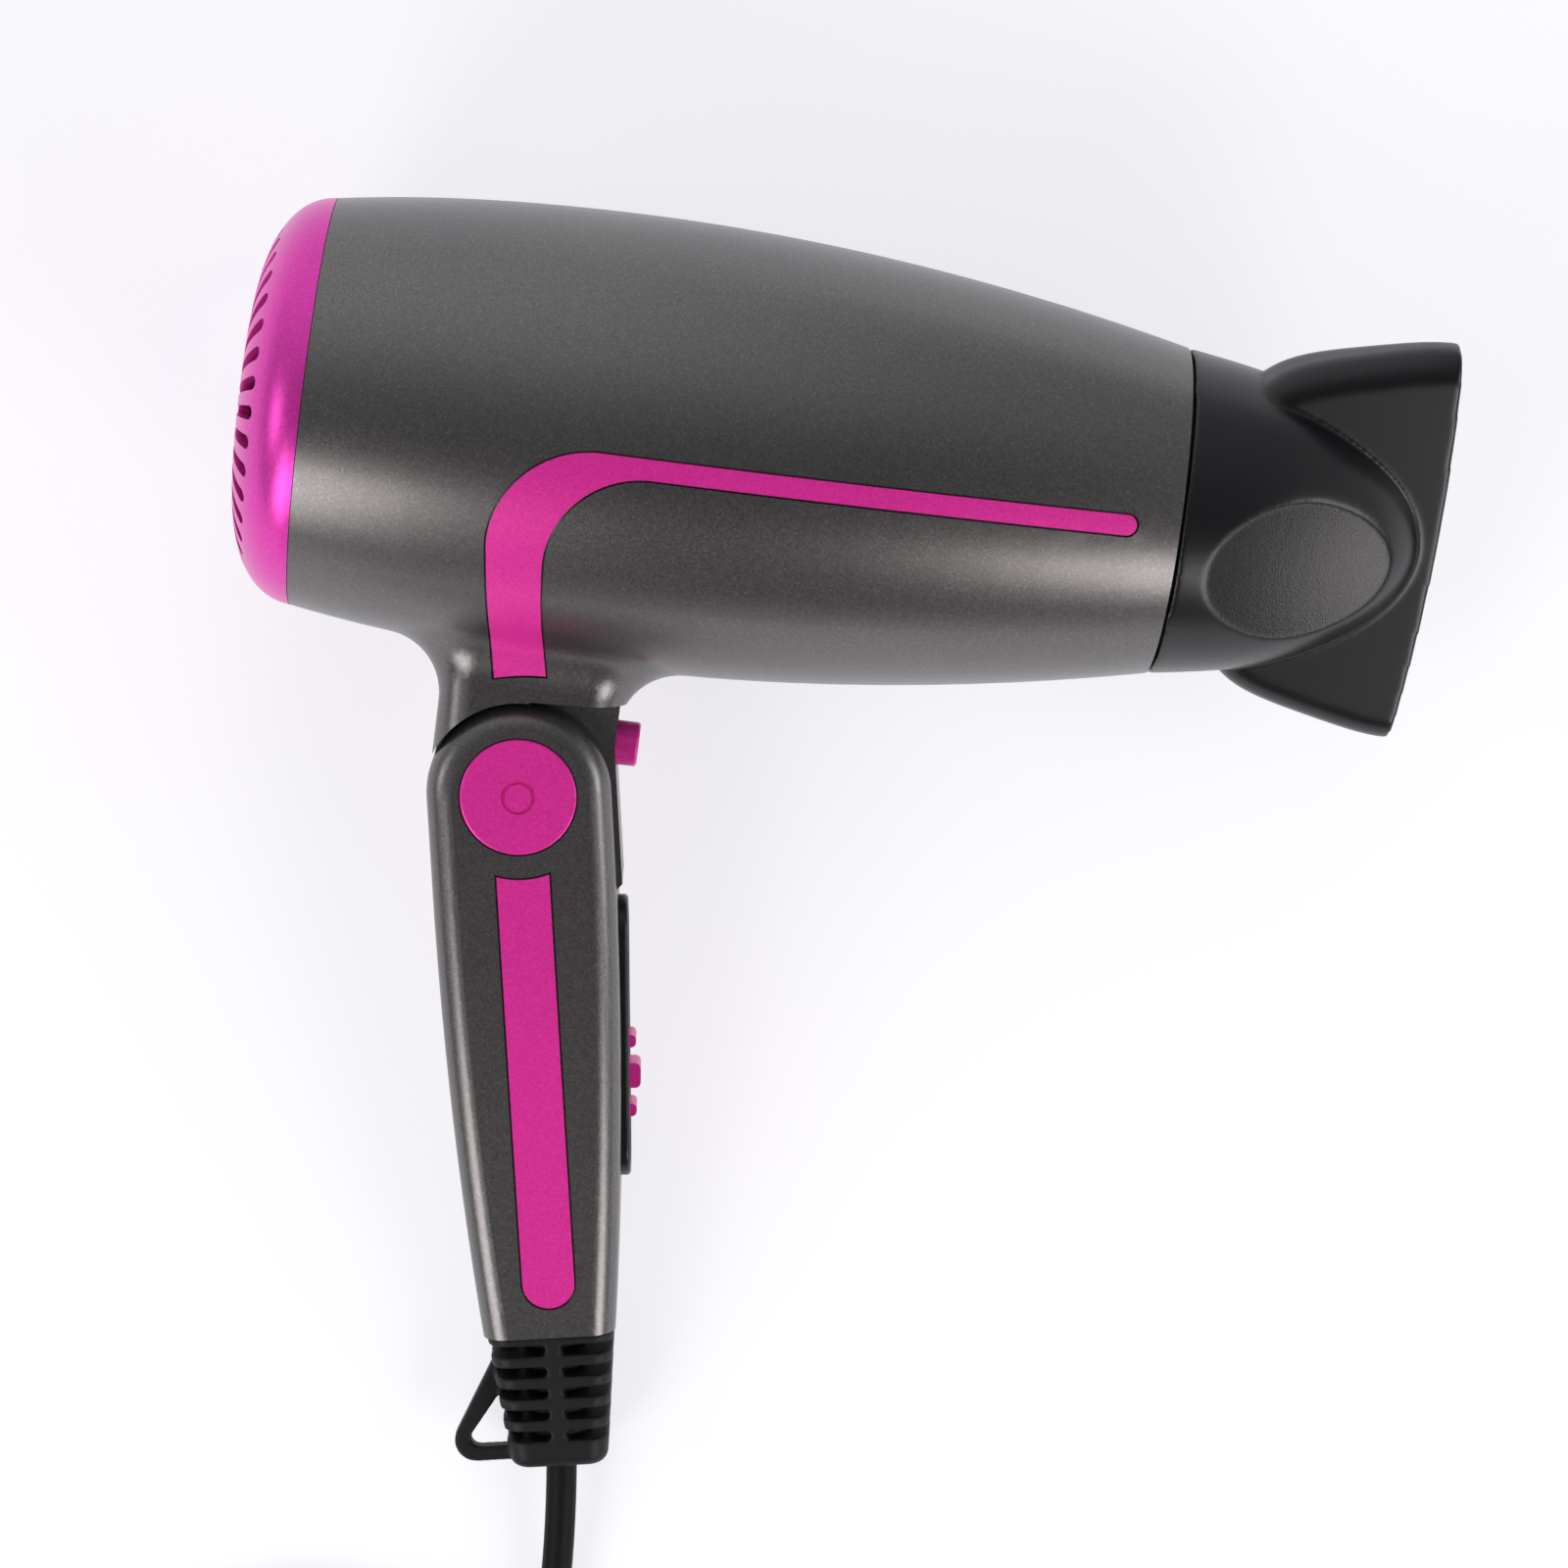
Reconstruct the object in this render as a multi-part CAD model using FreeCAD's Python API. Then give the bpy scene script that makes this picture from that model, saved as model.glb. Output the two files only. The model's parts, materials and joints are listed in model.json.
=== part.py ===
import FreeCAD, Part
import math
import os

# Folding travel hair dryer with a push-on concentrator nozzle, its mains cord and plug.
# Millimetres. The dryer is drawn in its own upright frame: X along the barrel axis towards the
# nozzle with x = 0 at the rear seam, -Y towards the handle, Z across, from side to side.
# The handle is drawn in a frame at its hinge: X forwards, -Y down the handle, Z along the hinge pin.
# place_dryer() then lays the dryer on its side, the way it rests on a table.

V = FreeCAD.Vector
AXIS_X = V(1, 0, 0)
AXIS_Y = V(0, 1, 0)
AXIS_Z = V(0, 0, 1)
ORIGIN = V(0, 0, 0)

# ---- resting pose: laid on its side on the barrel's belly and the boot
REST_ROLL = 9.8
REST_PITCH = 2.1
REST_SHIFT = V(-110.41, 86.75, 50.01)

# ---- general
FAR_OUT = 300.0
WALL = 2.4
PARTING = 0.08
SEAM = 0.15
RUN_GAP = 0.3
TRIM_GAP = 0.42
TRIM_DEPTH = 1.3

# ---- barrel: stations (x, radius) of the smooth outer curve
BARREL_LENGTH = 179.3
BARREL_CURVE = [(0, 42.5), (26, 45.75), (51, 47.1), (76, 47.2), (113, 45.0), (151, 39.9), (179.3, 34.3)]

# ---- neck and hinge tongue
NECK_REAR = 33.3
NECK_FRONT = 71.0
NECK_HALF = 18.0
NECK_CORNER = 7.0
NECK_BLEND = 13.0
NECK_BOTTOM = -90.0
PIVOT = V(52.3, -74.5, 0)
HANDLE_LEAN = 10.3
CHEEK_RADIUS = 19.3
RECESS_RADIUS = 19.8
RECESS_HEIGHT = 20.1
TONGUE_HALF = 10.2
CHEEK_INNER = 10.5
TONGUE_BACK = 16.5
TONGUE_FRONT = 20.4
TONGUE_TOE = 29.28
TONGUE_LOW = 21.0
TONGUE_WALL = 2.0
TONGUE_SWEEP = 29.8
PIN_RADIUS = 3.0
PIN_BORE = 3.05
PIVOT_BOSS = 7.0

# ---- screws that close the shells
BARREL_POST = 4.2
HANDLE_POST_NEAR = 3.0
HANDLE_POST_FAR = 4.0
POST_SINK = 1.0
PILOT_RADIUS = 1.25
PILOT_DEPTH = 8.0
CLEAR_RADIUS = 1.45
CLEAR_DEPTH = 29.0
SHANK_RADIUS = 1.2
SCREW_HEAD_HEIGHT = 1.6
BARREL_SCREW_HEAD = 2.5
BARREL_SCREW_LENGTH = 11.0
BARREL_HEAD_WELL = 2.8
BARREL_WELL_DEPTH = 11.0
BARREL_HEAD_SEAT = 9.4
HANDLE_SCREW_HEAD = 2.6
HANDLE_SCREW_LENGTH = 9.0
HANDLE_HEAD_WELL = 2.9
HANDLE_HEAD_SEAT = 5.6

# ---- inlaid trim on each side of the barrel
TRIM_HALF = 2.1
TRIM_TIP = 170.1

# ---- rear grille
CAP_CURVE = [(0, 42.5), (-7.0, 39.6), (-11.6, 32.8), (-14.2, 20.0), (-15.3, 0)]
CAP_WALL = 2.2
GRILLE_SLOTS = 36
SLOT_OUTER = 36.0
SLOT_INNER = 15.5
SLOT_WIDE = 2.9
SLOT_NARROW = 1.3
SLOT_SWIRL = 5.0

# ---- fan and motor
SHROUD_INNER = 38.0
SHROUD_OUTER = 39.8
SHROUD_START = 6.0
SHROUD_END = 64.0
FAN_RADIUS = 37.2
FAN_HUB = 13.0
FAN_START = 14.0
FAN_END = 30.0
FAN_BLADES = 7
BLADE_PITCH = 48.0
LEAD_NOTCH = 7.5
FLANGE_STARTS = (8.0, 58.0)
FLANGE_THICK = 2.5
VANE_HALF_THICK = 0.8
VANE_START = 38.0
VANE_END = 60.0
VANE_TWIST = 16.0
HUB_START = 37.0
HUB_END = 62.0
BLADE_HALF_CHORD = 12.0
BLADE_HALF_THICK = 0.6
MOTOR_START = 34.0
MOTOR_END = 64.0
MOTOR_RADIUS = 13.8
MOTOR_WALL = 1.0
MOUNT_RADIUS = 15.2
HUB_RADIUS = 17.0
VANES = 7
SHAFT_RADIUS = 1.15
ARMATURE_RADIUS = 10.9

# ---- heater
HEAT_START = 76.0
HEAT_END = 171.6
HEAT_RADIUS = 30.1
HEAT_WALL = 0.6
LEAD_RADIUS = 1.2
BOARD_THICK = 0.8
BOARD_START = 82.0
BOARD_END = 166.0
COIL_RADIUS = 26.0
COIL_WIRE = 0.9
COIL_START = 90.0
COIL_PITCH = 9.5
COIL_TURNS = 7

# ---- outlet spigot and nozzle
SPIGOT_RADIUS = 32.0
SPIGOT_WALL = 1.8
SPIGOT_START = 172.0
SPIGOT_END = 185.0
BEAD_START = 181.0
SNAP_START = 181.6
SNAP_WIDTH = 2.4
GRID_RINGS = (6.0, 14.0, 22.0)
GRID_HALF = 0.7
GRID_DEPTH = 2.4
GRID_SPOKES = 6
NOZZLE_START = 179.6
NOZZLE_TIP = 236.0
NOZZLE_TURN = 15.5
NOZZLE_WALL = 1.9
COLLAR_BORE = 32.3
COLLAR_DEPTH = 185.6
OGIVE_CURVE = [(179.6, 34.25), (190.0, 32.6), (204.0, 29.2), (216.0, 23.4), (226.0, 15.8), (231.5, 8.0)]
BLADE_EDGE = [(192.0, 27.5), (199.0, 35.4), (210.0, 39.6), (224.0, 43.1), (237.0, 44.1)]
BLADE_ROOT_HALF = 9.2
BLADE_TIP_HALF = 7.0
BLADE_ROUND = 6.5
LIP_RADIUS = 430.0
PAD_REAR = (186.2, 33.1)
PAD_FRONT = (224.3, 16.6)
PAD_DISH = 160.0
PAD_WALL = 1.5

# ---- handle: half width and half thickness with their long, slight curves
HANDLE_END = 118.0
REAR_BEND_START = 20.0
REAR_BEND = 1060.0
FRONT_BEND_START = 5.0
FRONT_BEND = 1090.0
FACE_BEND_START = 20.0
FACE_BEND = 896.0
HANDLE_HALF_THICK = 18.0
HANDLE_ROUND = 5.5
HANDLE_WALL = 2.2
CAVITY_TOP = 31.0

# ---- hinge caps and bolt
CAP_RADIUS = 12.2
CAP_THICK = 1.5
BOLT_HEAD = 5.6
BOLT_HEAD_TOP = 16.2
BOLT_HEAD_BASE = 13.6

# ---- handle inlay
INLAY_HALF = 5.5
INLAY_TOP = 17.5
INLAY_BOTTOM = 111.2

# ---- slide switch, in a frame on the handle's front surface
SWITCH_U = 55.6
SWITCH_V = 18.15
SWITCH_TILT = 2.6
BEZEL_HALF_LENGTH = 30.5
BEZEL_HALF_WIDTH = 7.4
BEZEL_PROUD = 1.7
SLIDER_TRAVEL = 14.0
SLIDER_HALF_LENGTH = 21.0
SLIDER_HALF_WIDTH = 4.9
SLIDER_SHIFT = -7.0
STEM_HALF_LENGTH = 5.0
STEM_HALF_WIDTH = 2.0

# ---- cool-shot button on the tongue
BUTTON_Y = -63.3
BUTTON_RADIUS = 4.7
BUTTON_FACE = 75.9
BUTTON_FLANGE = 6.2
BUTTON_ROOT = 4.4

# ---- strain-relief boot and hanging loop
BOOT_END = 147.9
BOOT_SLOTS = 5
BOOT_PITCH = 4.85
BOOT_SLOT = 2.35
BOOT_FIRST = 121.0
SLOT_ROUND = 0.9
BOOT_SPINE = 1.6
BOOT_CORE = 6.6
LOOP_HALF_THICK = 1.9
LOOP_ROUND = 4.6
EYE_ROUND = 2.0

# ---- mains cord, in the resting frame: from the boot along the table into the stored coil
CORD_RADIUS = 3.3
CORD_ROUTE = [
    (-33.1, -130.1, 9.7),
    (-31.4, -145.0, 7.4),
    (-30.9, -170.0, 3.6),
    (-31.5, -194.0, 3.4),
    (-31.9, -216.5, 3.4),
]
TAIL_ROUTE = [
    (-79.2, -263.8, 10.0),
    (-91.0, -264.3, 10.2),
    (-103.0, -264.1, 12.4),
    (-113.0, -264.0, 13.1),
]
COIL_CENTRE = V(-79.2, -216.5, 0)
COIL_OUTER = 47.3
COIL_INNER = 28.0
COIL_LAYERS = 2
TURN_PITCH = 6.6

# ---- mains plug, lying on the table beside the coil
PLUG_LENGTH = 49.0
PLUG_HALF_WIDTH = 17.7
PLUG_HALF_THICK = 13.0
PLUG_PIN_RADIUS = 2.4
PLUG_PIN_LENGTH = 19.0
PLUG_PIN_SPACING = 19.0
PLUG_PIN_DOME = 1.4
PLUG_ROOT_RADIUS = 1.9
PLUG_ROOT_LENGTH = 9.0


# ======================================================================== helpers
def edge_through(points, z=0.0):
    """Edge in a plane of constant z: two points give a line, three an arc, more a smooth curve."""
    vectors = [V(p[0], p[1], z) for p in points]
    if len(vectors) == 2:
        return Part.LineSegment(vectors[0], vectors[1]).toShape()
    if len(vectors) == 3:
        return Part.Arc(vectors[0], vectors[1], vectors[2]).toShape()
    curve = Part.BSplineCurve()
    curve.interpolate(vectors)
    return curve.toShape()


def face_of(pieces, z=0.0):
    """Flat face bounded by a chain of edges, each given by its points."""
    return Part.Face(Part.Wire([edge_through(piece, z) for piece in pieces]))


def closed(points):
    """The straight sides of a polygon, as a chain of edges."""
    return [(points[i], points[(i + 1) % len(points)]) for i in range(len(points))]


def prism(pieces, z_low, z_high):
    return face_of(pieces, z_low).extrude(V(0, 0, z_high - z_low))


def revolved(pieces):
    """Profile of (x, radius) turned about the X axis."""
    return face_of(pieces).revolve(ORIGIN, AXIS_X, 360)


def box(low, high):
    size = [b - a for a, b in zip(low, high)]
    return Part.makeBox(size[0], size[1], size[2], V(*low))


def rod(radius, start, end):
    along = end - start
    return Part.makeCylinder(radius, along.Length, start, along)


def ring_x(outer, inner, x_low, x_high):
    """Tube about the barrel axis."""
    body = rod(outer, V(x_low, 0, 0), V(x_high, 0, 0))
    return body.cut(rod(inner, V(x_low - 1, 0, 0), V(x_high + 1, 0, 0)))


def fused(shapes):
    shapes = list(shapes)
    whole = shapes[0]
    if len(shapes) > 1:
        whole = shapes[0].multiFuse(shapes[1:])
    return whole.removeSplitter()


def moved(shape, offset):
    copy = shape.copy()
    copy.translate(offset)
    return copy


def turned(shape, centre, axis, degrees):
    copy = shape.copy()
    copy.rotate(centre, axis, degrees)
    return copy


def mirrored(shape):
    """The same piece for the other side of the dryer."""
    return shape.mirror(ORIGIN, AXIS_Z)


def stadium(half_length, half_width):
    """Long slot outline with round ends, along Y."""
    straight = half_length - half_width
    return [
        ((half_width, -straight), (half_width, straight)),
        ((half_width, straight), (0, half_length), (-half_width, straight)),
        ((-half_width, straight), (-half_width, -straight)),
        ((-half_width, -straight), (0, -half_length), (half_width, -straight)),
    ]


def tube_along(points, radius):
    """Round tube on straight runs joined by tangent arcs; returns the solid and its bend radii."""
    corners = [V(*p) for p in points]
    edges = []
    radii = []
    start = corners[0]
    for before, corner, after in zip(corners, corners[1:], corners[2:]):
        into = (corner - before).normalize()
        out = (after - corner).normalize()
        turn = into.getAngle(out)
        reach = 0.45 * min((corner - before).Length, (after - corner).Length)
        entry = corner - into * reach
        leave = corner + out * reach
        bend = reach / math.tan(turn / 2)
        inward = (out - into).normalize()
        centre = corner + inward * (bend / math.cos(turn / 2))
        middle = centre - inward * bend
        edges.append(Part.LineSegment(start, entry).toShape())
        edges.append(Part.Arc(entry, middle, leave).toShape())
        radii.append(bend)
        start = leave
    edges.append(Part.LineSegment(start, corners[-1]).toShape())
    path = Part.Wire(edges)
    along = (corners[1] - corners[0]).normalize()
    ring = Part.Wire(Part.makeCircle(radius, corners[0], along))
    return path.makePipeShell([ring], True, True), radii


def rounded_section(x, half_width, half_thick, corner):
    """Rounded rectangle in the plane across X at station x."""
    flat = half_width - corner
    level = half_thick - corner
    bulge = corner * math.sqrt(0.5)
    edges = []
    for sy, sz in ((1, 1), (-1, 1), (-1, -1), (1, -1)):
        middle = V(x, sy * (flat + bulge), sz * (level + bulge))
        side = V(x, sy * half_width, sz * level)
        crown = V(x, sy * flat, sz * half_thick)
        first, last = (side, crown) if sy * sz > 0 else (crown, side)
        edges.append(Part.Arc(first, middle, last).toShape())
    joined = []
    for i, edge in enumerate(edges):
        following = edges[(i + 1) % 4]
        joined.append(edge)
        joined.append(Part.LineSegment(edge.Vertexes[-1].Point, following.Vertexes[0].Point).toShape())
    return Part.Wire(joined)


def screw(head_radius, shank_radius, head_height, length):
    """Pan-head screw along +Z with its head's top at z = 0 and a cross recess."""
    head = Part.makeCylinder(head_radius, head_height, V(0, 0, -head_height))
    shank = Part.makeCylinder(shank_radius, length, V(0, 0, -head_height - length))
    slot = box((-head_radius * 0.6, -0.35, -head_height * 0.45), (head_radius * 0.6, 0.35, 1))
    cross = fused([slot, turned(slot, ORIGIN, AXIS_Z, 90)])
    return fused([head, shank]).cut(cross)


# ======================================================================== placing
def place_dryer(shape):
    """Upright frame to the resting pose."""
    copy = turned(shape, ORIGIN, AXIS_X, REST_ROLL)
    copy.rotate(ORIGIN, AXIS_Y, REST_PITCH)
    copy.translate(REST_SHIFT)
    return copy


def place_handle(shape):
    """Handle frame to the upright frame."""
    copy = turned(shape, ORIGIN, AXIS_Z, HANDLE_LEAN)
    copy.translate(PIVOT)
    return copy


def place_switch(shape):
    """Switch frame (X outwards, +Y towards the hinge) to the handle frame."""
    copy = turned(shape, ORIGIN, AXIS_Z, -SWITCH_TILT)
    copy.translate(V(SWITCH_V, -SWITCH_U, 0))
    return copy


def export(name, shape):
    placed = place_dryer(shape)
    placed.exportStep("parts/" + name + ".step")
    return placed


# ======================================================================== barrel
def barrel_solid(inset, x_low, x_high):
    """Solid of revolution `inset` inside the barrel's outer curve, between two stations."""
    curve = [(x, r - inset) for x, r in BARREL_CURVE]
    first = curve[0]
    last = curve[-1]
    whole = revolved([curve, (last, (last[0], 0)), ((last[0], 0), (first[0], 0)), ((first[0], 0), first)])
    return whole.common(ring_slab(x_low, x_high))


def ring_slab(x_low, x_high):
    wide = 100.0
    return box((x_low, -wide, -wide), (x_high, wide, wide))


def neck_column(inset, y_low, y_high):
    """Column under the barrel with rounded corners."""
    rear = NECK_REAR + inset
    front = NECK_FRONT - inset
    half = NECK_HALF - inset
    corner = NECK_CORNER - inset
    column = box((rear, y_low, -half), (front, y_high, half))
    upright = [e for e in column.Edges if abs(e.tangentAt(e.FirstParameter).y) > 0.99]
    return column.makeFillet(corner, upright)


def barrel_outer():
    """Barrel and neck in one, with the concave blend between them."""
    barrel = barrel_solid(0, 0, BARREL_LENGTH)
    joined = fused([barrel, neck_column(0, NECK_BOTTOM, -20)])
    junction = []
    for edge in joined.Edges:
        limits = edge.BoundBox
        under = limits.YMax < -30 and limits.YMin > -52
        at_neck = limits.XMin > NECK_REAR - 1 and limits.XMax < NECK_FRONT + 1
        if under and at_neck:
            junction.append(edge)
    return joined.makeFillet(NECK_BLEND, junction)


def recess_region(grow):
    """Plan region that the handle's cheeks move in, at the neck's lower end."""
    radius = RECESS_RADIUS + grow
    disc = Part.makeCylinder(radius, 100, PIVOT + V(0, 0, -50))
    forward = prism(closed([
        (PIVOT.x, PIVOT.y + RECESS_HEIGHT),
        (NECK_FRONT + 5, PIVOT.y + RECESS_HEIGHT + 1.2),
        (NECK_FRONT + 5, NECK_BOTTOM - 5),
        (PIVOT.x, NECK_BOTTOM - 5),
    ]), -50, 50)
    below = box((NECK_REAR - 10, NECK_BOTTOM - 5, -50), (PIVOT.x + 1, PIVOT.y, 50))
    return fused([disc, forward, below])


def tongue(inset, half):
    """Hinge tongue between the handle's cheeks: flat front, round back, in the upright frame."""
    lean = math.radians(HANDLE_LEAN)
    front = TONGUE_FRONT - inset
    low = TONGUE_LOW - inset
    back = TONGUE_BACK - inset

    def upright(v, u):
        x = PIVOT.x + v * math.cos(lean) + u * math.sin(lean)
        y = PIVOT.y + v * math.sin(lean) - u * math.cos(lean)
        return (x, y)

    reach = TONGUE_TOE - inset
    inner = front - 4.0
    toe = upright(front, math.sqrt(reach ** 2 - front ** 2))
    toe_mid = upright(front - 2.0, math.sqrt(reach ** 2 - (front - 2.0) ** 2))
    ankle = upright(inner, math.sqrt(reach ** 2 - inner ** 2))
    heel = upright(0, low)
    diagonal = back * math.sqrt(0.5)
    back_low = upright(-diagonal, diagonal)
    back_mid = upright(-back, 0)
    front_x = NECK_FRONT - inset
    bend = (front - (front_x - PIVOT.x) * math.cos(lean)) / math.sin(lean)
    front_low = (front_x, PIVOT.y + bend)
    top = -45.0
    rear_x = back_mid[0]
    pieces = [
        ((rear_x, top), (front_x, top)),
        ((front_x, top), front_low),
        (front_low, toe),
        (toe, toe_mid, ankle),
        (ankle, heel),
        (heel, back_low, back_mid),
        (back_mid, (rear_x, top)),
    ]
    return prism(pieces, -half, half)


def barrel_cavity():
    """Everything hollow inside the barrel, neck and tongue, less the hinge boss."""
    hollow = fused([
        barrel_solid(WALL, -1, BARREL_LENGTH + 1),
        neck_column(WALL, PIVOT.y + RECESS_HEIGHT + WALL, -25),
        tongue(TONGUE_WALL, TONGUE_HALF - TONGUE_WALL),
    ])
    boss = Part.makeCylinder(PIVOT_BOSS, 40, PIVOT + V(0, 0, -20))
    return hollow.cut(boss)


def trim_outline(grow):
    """J-shaped outline of the side trim, grown all round for its recess."""
    half = TRIM_HALF + grow
    tip = TRIM_TIP - TRIM_HALF
    outer = 21.0 + grow
    outer_centre = (61.0, -18.9)
    inner = 20.0 - grow
    inner_centre = (71.7, -22.1)
    low = -49.4 - grow
    slant = math.radians(6.2)
    outer_side = (outer_centre[0] - outer, outer_centre[1])
    outer_foot = (44.4 - grow, low - 0.8)
    inner_side = (inner_centre[0] - inner, inner_centre[1])
    inner_foot = (55.0 + grow, low + 0.9)
    outer_mid = (outer_centre[0] - outer * math.sqrt(0.5), outer_centre[1] + outer * math.sqrt(0.5))
    inner_mid = (inner_centre[0] - inner * math.sqrt(0.5), inner_centre[1] + inner * math.sqrt(0.5))
    foot_mid = ((outer_foot[0] + inner_foot[0]) / 2, low + 0.4)
    bow = half * math.tan(slant)
    return [
        ((outer_centre[0], half), (tip, half)),
        ((tip, half), (tip + half, 0), (tip, -half)),
        ((tip, -half), (inner_centre[0], -half)),
        ((inner_centre[0], -half), inner_mid, inner_side),
        (inner_side, (inner_side[0] + 0.9 + bow, -36.0), inner_foot),
        (inner_foot, foot_mid, outer_foot),
        (outer_foot, (outer_side[0] + 1.6, -33.0), outer_side),
        (outer_side, outer_mid, (outer_centre[0], half)),
    ]


def side_skin(outline, body, depth):
    """The layer of a body's near side that lies under an outline, `depth` thick across."""
    column = prism(outline, 5.0, 80.0)
    return column.common(body).cut(moved(body, V(0, 0, -depth)))


def barrel_screw_sites():
    return [V(65.2, -49.2, 0), V(38.9, -49.2, 0)]


def barrel_shells(outer):
    """Two half shells, split on the middle plane, with the trims' recesses."""
    lower = outer.cut(recess_region(0))
    body = fused([lower, tongue(0, TONGUE_HALF)]).common(ring_slab(SEAM, BARREL_LENGTH - SEAM))
    cavity = barrel_cavity()
    bore = Part.makeCylinder(PIN_BORE, 60, PIVOT + V(0, 0, -30))
    button_bore = rod(BUTTON_RADIUS + RUN_GAP, V(PIVOT.x + 8, BUTTON_Y, 0), V(NECK_FRONT + 5, BUTTON_Y, 0))
    shell = body.cut(cavity.fuse(bore)).cut(button_bore)
    groove = side_skin(trim_outline(TRIM_GAP), outer, TRIM_DEPTH)
    shell = shell.cut(groove).cut(mirrored(groove))
    near = shell.common(box((-50, -200, PARTING), (300, 100, 100)))
    far = shell.common(box((-50, -200, -100), (300, 100, -PARTING)))
    for site in barrel_screw_sites():
        height = NECK_HALF - POST_SINK - PARTING
        post = Part.makeCylinder(BARREL_POST, height, site + V(0, 0, PARTING)).common(outer)
        pilot = Part.makeCylinder(PILOT_RADIUS, PILOT_DEPTH, site)
        near = near.fuse(post).cut(pilot)
        far = far.fuse(mirrored(post))
        well_floor = site + V(0, 0, -NECK_HALF - 1)
        far = far.cut(Part.makeCylinder(BARREL_HEAD_WELL, BARREL_WELL_DEPTH + 1, well_floor))
        far = far.cut(screw_clearance(site))
    return near, far


def screw_clearance(site):
    """Through hole for a screw's shank, up to the middle plane."""
    return Part.makeCylinder(CLEAR_RADIUS, CLEAR_DEPTH + 1, site + V(0, 0, -CLEAR_DEPTH))


def barrel_screws():
    """Two screws through the far shell's posts into the near shell."""
    pieces = []
    for site in barrel_screw_sites():
        piece = screw(BARREL_SCREW_HEAD, SHANK_RADIUS, SCREW_HEAD_HEIGHT, BARREL_SCREW_LENGTH)
        piece = turned(piece, ORIGIN, AXIS_X, 180)
        pieces.append(moved(piece, site + V(0, 0, -NECK_HALF + BARREL_HEAD_SEAT)))
    return Part.makeCompound(pieces)


# ======================================================================== rear grille
def cap_solid(inset):
    curve = [(x + inset if x < 0 else x, r - inset if r > 0 else 0) for x, r in CAP_CURVE]
    first = (0, curve[0][1])
    last = curve[-1]
    return revolved([curve, (last, (0, 0)), ((0, 0), first)])


def grille_slot():
    """One tapered slot with a round outer end, cut along the barrel axis."""
    wide = SLOT_WIDE / 2
    narrow = SLOT_NARROW / 2
    pieces = [
        ((SLOT_INNER, -narrow), (SLOT_OUTER - wide, -wide)),
        ((SLOT_OUTER - wide, -wide), (SLOT_OUTER, 0), (SLOT_OUTER - wide, wide)),
        ((SLOT_OUTER - wide, wide), (SLOT_INNER, narrow)),
        ((SLOT_INNER, narrow), (SLOT_INNER - narrow, 0), (SLOT_INNER, -narrow)),
    ]
    slot = prism(pieces, -2, 20)
    slot.rotate(V(SLOT_OUTER, 0, 0), AXIS_Z, SLOT_SWIRL)
    return turned(slot, ORIGIN, AXIS_Y, -90)


def rear_grille():
    """Slotted dome with a plug ring that snaps into the shells."""
    dome = cap_solid(0).cut(cap_solid(CAP_WALL))
    rim = ring_x(39.9, SHROUD_INNER, -3.0, 5.0)
    slot = grille_slot()
    step = 360.0 / GRILLE_SLOTS
    slots = [turned(slot, ORIGIN, AXIS_X, step * i) for i in range(GRILLE_SLOTS)]
    groove = ring_x(11.2, 10.4, -16.0, -14.7)
    return fused([dome, rim]).cut(Part.makeCompound(slots)).cut(groove)


def inlet_screen():
    """Perforated dust screen behind the grille."""
    disc = rod(SHROUD_INNER - 0.05, V(1.6, 0, 0), V(2.2, 0, 0))
    pitch = 5.6
    hole = 2.2
    rows = 6
    holes = []
    for row in range(-rows, rows + 1):
        for column in range(-rows, rows + 1):
            y = (column + 0.5 * (row % 2)) * pitch
            z = row * pitch * math.sin(math.radians(60))
            if math.hypot(y, z) < SHROUD_INNER - 5:
                holes.append(rod(hole, V(1, y, z), V(3, y, z)))
    return disc.cut(Part.makeCompound(holes))


# ======================================================================== fan and motor
def motor_housing():
    """Shroud round the fan, stator vanes and the hub that holds the motor."""
    shroud = ring_x(SHROUD_OUTER, SHROUD_INNER, SHROUD_START, SHROUD_END)
    flanges = []
    for start in FLANGE_STARTS:
        disc = barrel_solid(WALL + 0.02, start, start + FLANGE_THICK)
        flanges.append(disc.cut(x_rod(SHROUD_OUTER - 0.5)))
    hub = ring_x(HUB_RADIUS, MOUNT_RADIUS, HUB_START, HUB_END)
    half = VANE_HALF_THICK
    vanes = []
    for i in range(VANES):
        vane = box((VANE_START, HUB_RADIUS - 0.6, -half), (VANE_END, SHROUD_INNER + 0.5, half))
        vane.rotate(V((VANE_START + VANE_END) / 2, 0, 0), AXIS_Y, VANE_TWIST)
        vanes.append(turned(vane, ORIGIN, AXIS_X, 360.0 / VANES * i))
    vanes = [vane.common(x_rod(SHROUD_OUTER - 0.3)) for vane in vanes]
    last = FLANGE_STARTS[-1]
    notch = box((last - 1, -60.0, -LEAD_NOTCH), (last + 7, -20.0, LEAD_NOTCH))
    notch = notch.cut(x_rod(SHROUD_OUTER))
    return fused([shroud] + flanges + [hub] + vanes).cut(x_rod(MOUNT_RADIUS)).cut(notch)


def x_rod(radius):
    """Long rod on the barrel axis."""
    return rod(radius, ORIGIN, V(FAR_OUT, 0, 0))


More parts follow.
